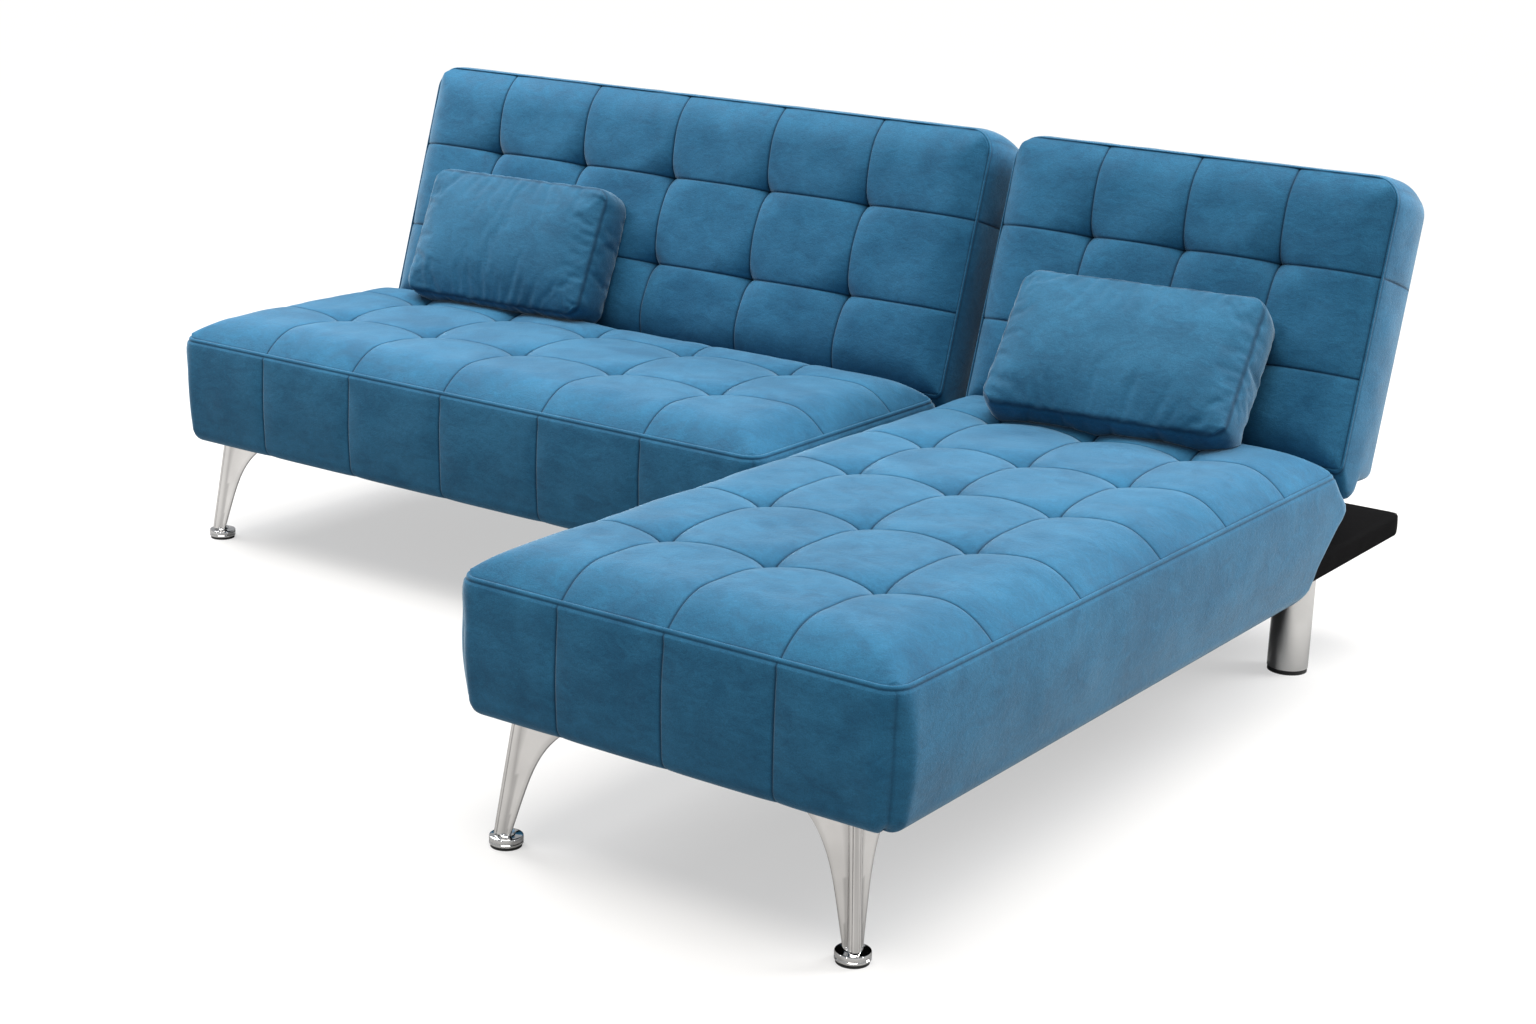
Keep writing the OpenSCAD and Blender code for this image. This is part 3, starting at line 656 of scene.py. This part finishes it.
def pillow_shell(name, w, l, t, seed):
    """A pillow's two face panels and the gusset between them, before it is stuffed."""

    def face(u, v, flip=0):
        ends, sides = np.minimum(v, l - v), np.minimum(u, w - u)
        d = np.minimum(ends, sides)
        crown = 19 * MM * (1 - (1 - np.clip(inner(u, w, v, l) / 0.085, 0, 1)) ** 2.3)
        edge = 1.4 * MM * noise(u, v * 0.25, 0.013, seed + 3 + flip) * fade(ends, 0.022)
        edge = edge + 1.2 * MM * noise(v, u * 0.25, 0.013, seed + 4 + flip) * fade(sides, 0.022)
        h = crown + 0.8 * MM * noise(u, v, 0.05, seed + flip) + edge * (1 - fade(d, 0.005))
        return h * (d > 0), groove(d, 0.0022)

    def twin(u, v):
        h, s = face(w - u, v, 20)
        return -t - h, s

    def rings(u, v, n):
        # The gusset narrows towards the corners, where the two face panels are drawn together
        narrow = 4 * MM * (4 * (n[:, 0] * n[:, 1]) ** 2)
        out = []
        for k in np.linspace(0, 1, 15):
            swell = math.sin(math.pi * k) ** 0.8
            crease = noise(u + v, u * 0 + k * t * 0.5, 0.018, seed + 7) * 0.7 * MM
            ends = 1.0 if k in (0.0, 1.0) else 0.0
            depth = narrow + 1.5 * MM + (t - 3 * MM - 2 * narrow) * k
            out.append((1.2 * MM + (3 * MM + crease) * swell, depth, ends * 0.9))
        return out

    u_lines, v_lines = even_lines(w, PILLOW_GRID), even_lines(l, PILLOW_GRID)
    return slab(name + "_pillow_soft", w, l, [30 * MM] * 4, u_lines, v_lines, face, rings, lambda p: p, twin)


def gathered(obj, w, l, t, seed):
    """A stuffed pillow's points, with fine gathers on both faces that run in from their seams."""
    co, normal = points_of(obj), points_of(obj, "normal")
    u, v, n = co.T
    ends, sides = np.abs(np.minimum(v, l - v)), np.abs(np.minimum(u, w - u))
    long = noise(v, u * 0, 0.03, seed + 9) * 0.012 + 0.020
    pucker = noise(u + 0.25 * v, v * 0.12, 0.0095, seed + 10) * fade(ends, long)
    pucker = pucker + noise(v + 0.25 * u, u * 0.12, 0.0095, seed + 11) * fade(sides, long)
    pucker = pucker * (1 - fade(np.minimum(ends, sides), 0.004)) * ((n > 0) | (n < -t))
    return co + normal * (1.9 * MM * pucker)[:, None]


def pillow(name):
    """A loose box pillow, stuffed and leaning on its back."""
    spec = PILLOWS[name]
    w, l, t, seed = spec["w"], spec["l"], PILLOW_T - 4 * MM, spec["seed"]
    obj = pillow_shell(name, w, l, t, seed)
    inflate(obj, seam_of(obj), pressure=6.0, frames=24, cap=20 * MM)
    sink_seams(obj, 1.6 * MM)
    subdivide(obj)
    u, v, n = gathered(obj, w, l, t, seed).T
    local = np.stack([u - w / 2, -n - t / 2, v - l / 2], -1)
    to_left = Matrix.Rotation(math.radians(spec["turn"]), 3, "Z")
    turn = to_left @ Matrix.Rotation(math.radians(-spec["lean"]), 3, "X")
    p = local @ np.array(turn).T + np.array(spec["at"])
    p = above_seat(name, before_back(name, p))
    obj.data.vertices.foreach_set("co", p.ravel())
    obj.data.polygons.foreach_set("use_smooth", [True] * len(obj.data.polygons))
    obj.data.update()
    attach(obj, name + "_pillow")
    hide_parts(name + "_pillow_cover", name + "_pillow_insert")
    return obj


# ---------------------------------------------------------------- legs

# A front leg's place from its seat's side and front, and the heights between which it is cast
LEG_IN = 72 * MM
LEG_BACK = 34 * MM
LEG_LOW = 20 * MM
LEG_TOP = SEAT_LOW - 4 * MM
# The rib's radius in mm, and its outline: angle, and how far out from that radius. Two grooves flank a bead.
RIB = 9.0
RIB_EDGE = [
    (140, 0), (152, 0), (164, 0), (176, 0), (186, -1.3), (196, 0), (210, 0.5), (225, 0.7),
    (240, 0.5), (254, 0), (264, -1.3), (274, 0), (286, 0), (298, 0), (310, 0),
]
# The turned foot's outline: radius and height, in mm
FOOT = [
    (21.5, 3.6), (23.8, 4.0), (25, 5.4), (25, 8.0), (24.2, 8.8), (24.2, 9.8), (25, 10.6), (25, 15.2),
    (24.3, 16.8), (22.4, 17.6), (14.5, 17.9), (12.8, 19.0), (12.0, 21.5),
]


def lathe(name, profile, x, y, steps=48):
    """A turned piece over (x, y) from (radius, height) pairs in mm, closed at both ends."""
    angles = np.linspace(0, 2 * math.pi, steps, endpoint=False)
    verts, faces = [], []
    for r, z in profile:
        verts += [(x + r * MM * math.cos(a), y + r * MM * math.sin(a), z * MM) for a in angles]
    for k in range(len(profile) - 1):
        for i in range(steps):
            j = (i + 1) % steps
            faces.append([k * steps + i, k * steps + j, (k + 1) * steps + j, (k + 1) * steps + i])
    faces.append(list(range(steps))[::-1])
    faces.append([(len(profile) - 1) * steps + i for i in range(steps)])
    obj = make_mesh(name, verts, faces)
    obj.data.set_sharp_from_angle(angle=math.radians(38))
    return obj


def around(c, r, a):
    """The point at a radius and an angle in degrees round (c, c)."""
    return c + r * math.cos(math.radians(a)), c + r * math.sin(math.radians(a))


def leg_section(c, e):
    """Outline of a cast leg at one height, in mm: a grooved rib at (c, c) and two fins out to e."""
    # A fin is half this thick at its root and at its rounded tip
    half, tip = 3.6, 2.6
    fillet = min(12.0, (e - c) * 0.38)
    steps = np.linspace(0, 1, 6)
    ends = [(x, c - half + (half - tip) * k) for x, k in zip(np.linspace(c + 9.5, e - tip, 6), steps)]
    for a in np.linspace(-60, 60, 5):
        ends.append((e - tip + tip * math.cos(math.radians(a)), c + tip * math.sin(math.radians(a))))
    inner_side = np.linspace(e - tip, c + half + fillet, 6)
    ends += [(x, c + tip + (half - tip) * k) for x, k in zip(inner_side, steps)]
    ends += [around(c + half + fillet, fillet, a) for a in (247.5, 225)]
    other = [(y, x) for x, y in ends[-2::-1]]
    ring = [around(c, RIB + out, a) for a, out in RIB_EDGE]
    return ends + other + ring


def cast_leg(name, x, y, sx):
    """A cast leg whose two fins sweep inwards along the seat's front and side.

    The fin along the front runs to the right when sx is 1, and to the left when it is -1.
    """
    count = 40
    verts, faces, leg_shade = [], [], []
    for k in range(count):
        t = k / (count - 1)
        z = (LEG_LOW + (LEG_TOP - LEG_LOW) * t) / MM
        # Going up, the rib leans in under the seat and the fins reach farther along its sides
        c = -6.0 + 18.0 * t
        e = 13 + 48 * t + 34 * t ** 5
        for p, q in leg_section(c, e):
            verts.append((x + sx * p * MM, y + q * MM, z * MM))
            r = math.hypot(p - c, q - c)
            # Painted shade and dark reflection lines: darkest in the grooves, less on the bead and the fins'
            # roots, least on the fins' tips
            leg_shade.append(1.0 if r < 8.3 else 0.55 if 9.3 < r < 15 else 0.3 if r > e - c - 3.5 else 0.0)
    n = len(verts) // count
    for k in range(count - 1):
        for i in range(n):
            j = (i + 1) % n
            quad = [k * n + i, k * n + j, (k + 1) * n + j, (k + 1) * n + i]
            faces.append(quad if sx > 0 else quad[::-1])
    ends = [list(range(n))[::-1], [(count - 1) * n + i for i in range(n)]]
    faces += ends if sx > 0 else [f[::-1] for f in ends]
    leg = make_mesh(name, verts, faces, leg_shade)
    leg.data.set_sharp_from_angle(angle=math.radians(34))
    return leg


def front_leg(name, x, y, sx):
    """A cast leg on a turned foot."""
    leg = cast_leg(name, x, y, sx)
    foot = lathe(name + "_foot", FOOT, x, y)
    for obj in (leg, foot):
        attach(obj, "base")
    return leg, foot


def front_legs(name):
    unit = UNITS[name]
    pieces = []
    for side, sx in (("left", 1), ("right", -1)):
        x = unit["x"] + LEG_IN if sx > 0 else unit["x"] + unit["w"] - LEG_IN
        pieces.append(front_leg(name + "_" + side + "_front_leg", x, unit["front"] + LEG_BACK, sx))
    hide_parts(name + "_front_legs")
    return pieces


# ---------------------------------------------------------------- cloth under and behind


def support_cloth(name):
    """Black cloth pulled over the rear support and stapled under it: one sheet, open below."""
    lo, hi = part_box(name + "_support_cover")
    # It stands off its frame's sides, so that no corner comes through
    proud = Vector((2.5, 2.5, 0.0)) * MM
    lo, hi = lo - proud, hi + proud
    edge, seed = 10 * MM, UNITS[name]["seed"] + 80
    w, l = hi.x - lo.x - 2 * edge, hi.y - lo.y - 2 * edge
    drop = hi.z - lo.z

    def face(u, v):
        h = 0.7 * MM * noise(u, v, 0.10, seed)
        h = h + 0.5 * MM * noise(u * 0.2, v, 0.02, seed + 1) * fade(l - v, 0.05)
        h = h + 0.5 * MM * noise(u, v + u * 0.4, 0.03, seed + 3) * fade(np.minimum(u, w - u), 0.03)
        return h, u * 0

    def rings(u, v, n):
        along = np.where(np.abs(n[:, 1]) > 0.7, u, v)
        out = [(edge * math.sin(math.radians(a)), edge * (1 - math.cos(math.radians(a))), 0.0)
               for a in (15, 30, 45, 60, 75, 90)]
        for t in np.linspace(0, 1, 8)[1:]:
            fold = 1.5 * MM * noise(along + t * 0.02, along * 0 + t * 0.02, 0.030, seed + 2)
            out.append((edge + fold * math.sin(math.pi * t), edge + (drop - edge) * t, 0.0))
        return out

    def place(p):
        return p + np.array([lo.x + edge, lo.y + edge, hi.z - 0.8 * MM])

    obj = slab(name + "_support_cloth", w, l, [3 * MM] * 4, even_lines(w, 0.01), even_lines(l, 0.01), face,
               rings, place, closed=False)
    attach(obj, "base")
    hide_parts(name + "_support_cover")
    return obj


def dust_cloth(name):
    """Thin black cloth stapled under a seat. It sags a little, and puckers between its staples."""
    lo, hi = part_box(name + "_dust_cover")
    seed = UNITS[name]["seed"] + 85
    w, l = hi.x - lo.x, hi.y - lo.y
    gu, gv = np.meshgrid(even_lines(w, 0.015), even_lines(l, 0.015), indexing="ij")
    edge = np.minimum(np.minimum(gu, w - gu), np.minimum(gv, l - gv))
    along = np.where(np.minimum(gu, w - gu) < np.minimum(gv, l - gv), gv, gu)
    sag = 3.5 * MM * smooth(edge / 0.16) + 0.8 * MM * noise(gu, gv, 0.12, seed) * smooth(edge / 0.05)
    staples = np.abs(np.sin(along * math.pi / 0.06))
    pucker = 0.9 * MM * staples * fade(edge, 0.03)
    z = lo.z - 0.7 * MM - sag - pucker
    index = np.arange(gu.size).reshape(gu.shape)
    gu, gv = round_corners(gu, gv, w, l, [45 * MM] * 4)
    points = np.stack([lo.x + gu.ravel(), lo.y + gv.ravel(), z.ravel()], -1)
    obj = make_mesh(name + "_dust_cloth", points, grid_faces(index, flip=True))
    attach(obj, "base")
    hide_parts(name + "_dust_cover")
    return obj


# The crease cloth's fold across its length: y behind the seat's rear line, and z, both in mm
CREASE = [(-1, 396), (3, 385), (7, 374), (11, 367), (14, 372), (13, 384), (9, 396)]
# How far the crease cloth stops short of the back's sides
CREASE_IN = 0.030


def crease_cloth(name):
    """The strip of velvet sewn from a seat's rear edge to its back's foot. It folds down into the gap."""
    unit = UNITS[name]
    width = unit["back_w"] - 2 * CREASE_IN
    path = np.array(CREASE, float)
    t = np.linspace(0, 1, 25)
    y = np.interp(t, np.linspace(0, 1, len(path)), path[:, 0])
    z = np.interp(t, np.linspace(0, 1, len(path)), path[:, 1])
    gx, gt = np.meshgrid(even_lines(width, 0.006), t, indexing="ij")
    gather = noise(gx, gt * 0.05, 0.016, unit["seed"] + 90) * np.sin(math.pi * gt) * MM
    points = np.stack([
        (gx + unit["back_x"] + CREASE_IN).ravel(),
        (np.broadcast_to(y, gx.shape) * MM + REAR_Y + 0.7 * gather).ravel(),
        (np.broadcast_to(z, gx.shape) * MM + 1.5 * gather).ravel(),
    ], -1)
    index = np.arange(gx.size).reshape(gx.shape)
    obj = make_mesh(name + "_crease_cloth", points, grid_faces(index, flip=True), np.zeros(gx.size))
    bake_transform(obj)
    return obj


# ---------------------------------------------------------------- camera, light and floor

# The photo's camera, fitted to its tufting, legs and edges. Angles are in radians.
CAMERA_AT = Vector((2.6213, -3.4111, 1.4764))
YAW, PITCH, ROLL = 0.6022, -0.2791, 0.0348
LENS, SENSOR = 59.3, 36
FLOOR_REACH = 40


def add_camera():
    cam = bpy.data.cameras.new("camera")
    cam.lens, cam.sensor_width = LENS, SENSOR
    forward = Vector((-math.sin(YAW) * math.cos(PITCH), math.cos(YAW) * math.cos(PITCH), math.sin(PITCH)))
    flat_right = Vector((math.cos(YAW), math.sin(YAW), 0))
    flat_up = flat_right.cross(forward)
    right = math.cos(ROLL) * flat_right + math.sin(ROLL) * flat_up
    up = -math.sin(ROLL) * flat_right + math.cos(ROLL) * flat_up
    obj = bpy.data.objects.new("camera", cam)
    m = Matrix((right, up, -forward)).transposed().to_4x4()
    m.translation = CAMERA_AT
    obj.matrix_world = m
    scene.collection.objects.link(obj)
    scene.camera = obj


def place_light(name, light, at, toward):
    obj = bpy.data.objects.new(name, light)
    obj.location = at
    obj.rotation_euler = (Vector(at) - Vector(toward)).to_track_quat("Z", "Y").to_euler()
    scene.collection.objects.link(obj)


def add_sun(name, at, strength, angle, color):
    light = bpy.data.lights.new(name, "SUN")
    light.energy = strength
    light.color = color
    light.angle = math.radians(angle)
    place_light(name, light, at, (0, 0, 0))


def add_softbox(name, at, toward, power, width, height):
    light = bpy.data.lights.new(name, "AREA")
    light.energy = power
    light.shape = "RECTANGLE"
    light.size, light.size_y = width, height
    place_light(name, light, at, toward)


def glow_where_seen(tree, socket, unseen, seen):
    """Makes the stage white where it is seen, without that much light on the object."""
    rays = tree.nodes.new("ShaderNodeLightPath")
    level = tree.nodes.new("ShaderNodeMapRange")
    level.inputs["To Min"].default_value, level.inputs["To Max"].default_value = unseen, seen
    tree.links.new(rays.outputs["Is Camera Ray"], level.inputs["Value"])
    tree.links.new(level.outputs["Result"], socket)


def add_stage():
    world = bpy.data.worlds.new("studio")
    world.use_nodes = True
    background = world.node_tree.nodes["Background"]
    background.inputs["Color"].default_value = (0.95, 0.97, 1.0, 1)
    glow_where_seen(world.node_tree, background.inputs["Strength"], unseen=0.40, seen=1.05)
    scene.world = world
    add_sun("overhead_sun", (0.06, -0.08, 1.0), 4.6, 50, (1.0, 0.955, 0.90))
    add_softbox("left_softbox", (-2.4, 0.1, 2.8), (-0.6, 0.5, 0.6), 105, 1.6, 1.6)
    add_softbox("right_softbox", (2.9, 2.4, 2.7), (0.95, 0.5, 0.5), 170, 1.6, 1.6)
    # Narrow strips, which draw the bright upright lines on the polished legs
    add_softbox("left_strip", (-1.6, -3.4, 0.7), (0.5, -0.6, 0.1), 5, 0.10, 1.8)
    add_softbox("front_strip", (0.9, -4.2, 0.7), (0.6, -0.6, 0.1), 5, 0.10, 1.8)
    add_softbox("right_strip", (3.6, -0.6, 0.7), (0.9, 0.2, 0.1), 5, 0.10, 1.8)
    scene.view_settings.view_transform = "Standard"


def add_floor():
    corners = [(x * FLOOR_REACH, y * FLOOR_REACH, 0) for x, y in ((-1, -1), (1, -1), (1, 1), (-1, 1))]
    floor = make_mesh("studio_floor", corners, [[0, 1, 2, 3]], flat=True)
    mat = bpy.data.materials.new("studio_floor")
    mat.use_nodes = True
    shader = mat.node_tree.nodes["Principled BSDF"]
    shader.inputs["Base Color"].default_value = (0.27, 0.27, 0.27, 1)
    shader.inputs["Roughness"].default_value = 0.9
    shader.inputs["Specular IOR Level"].default_value = 0.1
    glow_where_seen(mat.node_tree, shader.inputs["Emission Strength"], unseen=0.0, seen=0.53)
    shader.inputs["Emission Color"].default_value = (1, 1, 1, 1)
    floor.data.materials.append(mat)


# ---------------------------------------------------------------- materials


class Nodes:
    """A short way to build a material's node tree.

    In add, a key that starts with set_ is a setting of the node, and any other key is a socket: its name with
    underscores for spaces, or an underscore and its number.
    """

    def __init__(self, name):
        self.mat = bpy.data.materials.new(name)
        self.mat.use_nodes = True
        self.tree = self.mat.node_tree
        self.shader = self.tree.nodes["Principled BSDF"]

    def add(self, kind, **sockets):
        node = self.tree.nodes.new("ShaderNode" + kind)
        for key, value in sockets.items():
            if key.startswith("set_"):
                setattr(node, key[4:], value)
        for key, value in sockets.items():
            if not key.startswith("set_"):
                self.put(node, key, value)
        return node

    def put(self, node, key, value):
        socket = node.inputs[int(key[1:])] if key[0] == "_" else node.inputs[key.replace("_", " ")]
        if isinstance(value, bpy.types.NodeSocket):
            self.tree.links.new(value, socket)
        else:
            socket.default_value = value

    def set(self, **sockets):
        for key, value in sockets.items():
            self.put(self.shader, key, value)

    def where(self):
        return self.add("TexCoord").outputs["Object"]

    def noise(self, scale, detail=3.0, rough=0.5, vector=None, distortion=0.0):
        node = self.add("TexNoise", Vector=vector or self.where(), Scale=scale, Detail=detail,
                        Roughness=rough, Distortion=distortion)
        return node.outputs["Fac"]

    def stretch(self, scale):
        return self.add("Mapping", Vector=self.where(), Scale=scale).outputs["Vector"]

    def span(self, value, a, b, lo=0.0, hi=1.0):
        return self.add("MapRange", _0=value, _1=a, _2=b, _3=lo, _4=hi).outputs[0]

    def mix(self, fac, a, b, blend="MIX"):
        return self.add("Mix", set_data_type="RGBA", set_blend_type=blend, _0=fac, _6=a, _7=b).outputs[2]

    def math(self, op, a, b=0.0):
        return self.add("Math", set_operation=op, _0=a, _1=b).outputs[0]

    def bump(self, height, strength, distance, normal=None):
        node = self.add("Bump", Height=height, Strength=strength, Distance=distance)
        if normal is not None:
            self.put(node, "Normal", normal)
        return node.outputs["Normal"]


# The dark blue painted into the seams as shade
SEAM_SHADE_COLOR = (0.001, 0.018, 0.045, 1)
# The dark grey of the painted shade and dark reflections on the cast legs
SHADED_METAL = (0.10, 0.10, 0.10, 1)


def velvet(name, deep, mid, light, seam_shade=0.84):
    """Short-pile velvet: brushed patches of nap, fine fibres, and painted shade in the grooves of its seams.
    """
    m = Nodes(name)
    patch = m.noise(7.0, 4.0, 0.6, distortion=0.6)
    stroke = m.noise(26.0, 3.0, 0.6, vector=m.stretch((0.7, 0.9, 1.5)), distortion=1.2)
    tuft = m.noise(150.0, 3.0, 0.6, vector=m.stretch((0.8, 0.9, 1.3)), distortion=0.8)
    fibre = m.noise(620.0, 2.0, 0.7)
    nap = m.math("ADD", m.math("MULTIPLY", patch, 0.55), m.math("MULTIPLY", stroke, 0.45))
    tone = m.span(nap, 0.38, 0.62)
    color = m.mix(tone, deep, light)
    color = m.mix(0.35, color, mid)
    grain = m.math("MULTIPLY", m.span(fibre, 0.3, 0.7, 0.82, 1.18), m.span(tuft, 0.3, 0.7, 0.92, 1.08))
    gray = m.add("CombineColor", _0=grain, _1=grain, _2=grain).outputs[0]
    color = m.mix(1.0, color, gray, "MULTIPLY")
    # Painted shade: the seam attribute darkens the colour in the seams' grooves and folds
    seam = m.add("Attribute", set_attribute_name="seam").outputs["Fac"]
    color = m.mix(m.math("MULTIPLY", seam, seam_shade), color, SEAM_SHADE_COLOR)
    m.set(Base_Color=color, Roughness=m.span(stroke, 0.3, 0.7, 0.70, 0.86), Specular_IOR_Level=0.18)
    m.set(Sheen_Weight=0.42, Sheen_Roughness=0.36, Sheen_Tint=(0.68, 0.87, 1.0, 1))
    height = m.math("ADD", m.math("MULTIPLY", fibre, 0.3), m.math("MULTIPLY", tuft, 0.70))
    height = m.math("ADD", height, m.math("MULTIPLY", stroke, 0.55))
    m.set(Normal=m.bump(height, 0.45, 0.0018))
    return m.mat


def dark_cloth(name, color, scale=900.0):
    """A plain weave with flecks, so many to the metre."""
    m = Nodes(name)
    weave_u = m.add("TexWave", set_bands_direction="X", Vector=m.where(), Scale=scale * 0.16, Distortion=0.4)
    weave_v = m.add("TexWave", set_bands_direction="Y", Vector=m.where(), Scale=scale * 0.16, Distortion=0.4)
    fleck = m.noise(scale, 2.0, 0.6)
    tone = m.span(fleck, 0.3, 0.7, 0.55, 1.5)
    gray = m.add("CombineColor", _0=tone, _1=tone, _2=tone).outputs[0]
    m.set(Base_Color=m.mix(1.0, color, gray, "MULTIPLY"), Roughness=0.85, Specular_IOR_Level=0.03)
    height = m.math("ADD", m.math("MULTIPLY", weave_u.outputs["Fac"], 0.5),
                    m.math("MULTIPLY", weave_v.outputs["Fac"], 0.5))
    m.set(Normal=m.bump(height, 0.35, 0.0006, m.bump(fleck, 0.3, 0.0006)))
    return m.mat


def metal(name, color, rough, grain=(1, 1, 1), bump=0.02, fleck=60.0, painted_shade=0.0):
    """Metal with fine brushing or casting texture and uneven polish. Where asked, its colour darkens by the
    seam attribute: painted shade and dark reflection lines on a cast leg.
    """
    m = Nodes(name)
    brush = m.noise(fleck, 4.0, 0.7, vector=m.stretch(grain))
    cloud = m.noise(14.0, 3.0, 0.5)
    tone = m.mix(m.span(cloud, 0.3, 0.7), color, tuple(c * 0.88 for c in color[:3]) + (1,))
    if painted_shade:
        # Painted shade and dark reflections: the base colour darkens by the leg's seam attribute
        shade_level = m.math("MULTIPLY", m.add("Attribute", set_attribute_name="seam").outputs["Fac"], painted_shade)
        tone = m.mix(shade_level, tone, SHADED_METAL)
    m.set(Base_Color=tone)
    m.set(Metallic=1.0, Roughness=m.span(brush, 0.3, 0.7, rough * 0.75, rough * 1.3))
    m.set(Normal=m.bump(brush, bump, 0.0008))
    return m.mat


def plastic(name, color, rough, scale=700.0):
    """Moulded plastic or paint, finely speckled."""
    m = Nodes(name)
    speck = m.noise(scale, 2.0, 0.6)
    m.set(Base_Color=m.mix(m.span(speck, 0.3, 0.7), color, tuple(c * 0.7 for c in color[:3]) + (1,)))
    m.set(Roughness=m.span(speck, 0.3, 0.7, rough * 0.85, rough * 1.15), Normal=m.bump(speck, 0.15, 0.0004))
    return m.mat


def foam(name):
    """Yellowed open-cell foam."""
    m = Nodes(name)
    cells = m.add("TexVoronoi", Vector=m.where(), Scale=420.0).outputs["Distance"]
    m.set(Base_Color=m.mix(m.span(cells, 0.0, 0.6), (0.80, 0.70, 0.42, 1), (0.62, 0.52, 0.28, 1)))
    m.set(Roughness=0.95)
    m.set(Normal=m.bump(cells, 0.5, 0.001))
    return m.mat


VELVET = velvet("velvet", deep=(0.006, 0.065, 0.135, 1), mid=(0.012, 0.094, 0.185, 1),
                light=(0.022, 0.127, 0.234, 1))
# A darker copy of the velvet for the pillows: painted shade, with less painted shade in the seams
SHADED_PILLOW_VELVET = velvet("pillow_velvet", deep=(0.007, 0.062, 0.124, 1), mid=(0.014, 0.089, 0.169, 1),
                       light=(0.024, 0.121, 0.218, 1), seam_shade=0.65)
BLACK_CLOTH = dark_cloth("black_cloth", (0.004, 0.004, 0.0043, 1))
WEBBING = dark_cloth("webbing", (0.05, 0.05, 0.055, 1), scale=600.0)
CHROME = metal("chrome", (0.80, 0.80, 0.80, 1), 0.07, bump=0.004, fleck=40.0)
# The satin legs take painted shade and dark reflection lines from their seam attribute
SATIN = metal("satin_chrome", (0.96, 0.95, 0.94, 1), 0.10, grain=(1, 1, 0.12), bump=0.004, fleck=90.0,
              painted_shade=0.6)
BRUSHED = metal("brushed_chrome", (0.86, 0.86, 0.85, 1), 0.05, grain=(9, 9, 0.35), bump=0.004, fleck=90.0)
ZINC = metal("zinc_steel", (0.56, 0.57, 0.59, 1), 0.34, bump=0.08, fleck=120.0)
SPRING = metal("spring_steel", (0.36, 0.37, 0.39, 1), 0.38, bump=0.05, fleck=160.0)
FRAME = plastic("frame_steel", (0.06, 0.06, 0.065, 1), 0.42)
BLACK_FRAME = plastic("black_frame", (0.02, 0.02, 0.021, 1), 0.45)
PAD = plastic("black_plastic", (0.02, 0.02, 0.02, 1), 0.55)
FOAM = foam("foam")

NODE_MATERIALS = {
    "velvet": VELVET, "pillow_velvet": SHADED_PILLOW_VELVET, "foam": FOAM, "spring_steel": SPRING,
    "frame_steel": FRAME, "black_cloth": BLACK_CLOTH, "black_frame": BLACK_FRAME, "zinc_steel": ZINC,
    "webbing": WEBBING, "chrome": CHROME, "black_plastic": PAD,
}


def paint(obj, mat):
    obj.data.materials.clear()
    obj.data.materials.append(mat)


# ---------------------------------------------------------------- the object

add_camera()
add_stage()
add_floor()
for part in frame["record"]["subparts"]:
    paint(frame["nodes"][part["node"]], NODE_MATERIALS[part["material_slot"]])
for unit_name in UNITS:
    paint(seat(unit_name), VELVET)
    paint(back(unit_name), VELVET)
    paint(rear_panel(unit_name), VELVET)
    paint(pillow(unit_name), SHADED_PILLOW_VELVET)
    paint(support_cloth(unit_name), BLACK_CLOTH)
    paint(dust_cloth(unit_name), BLACK_CLOTH)
    paint(crease_cloth(unit_name), VELVET)
    for leg, foot in front_legs(unit_name):
        paint(leg, SATIN)
        paint(foot, CHROME)
    paint(frame["nodes"][unit_name + "_rear_legs"], BRUSHED)
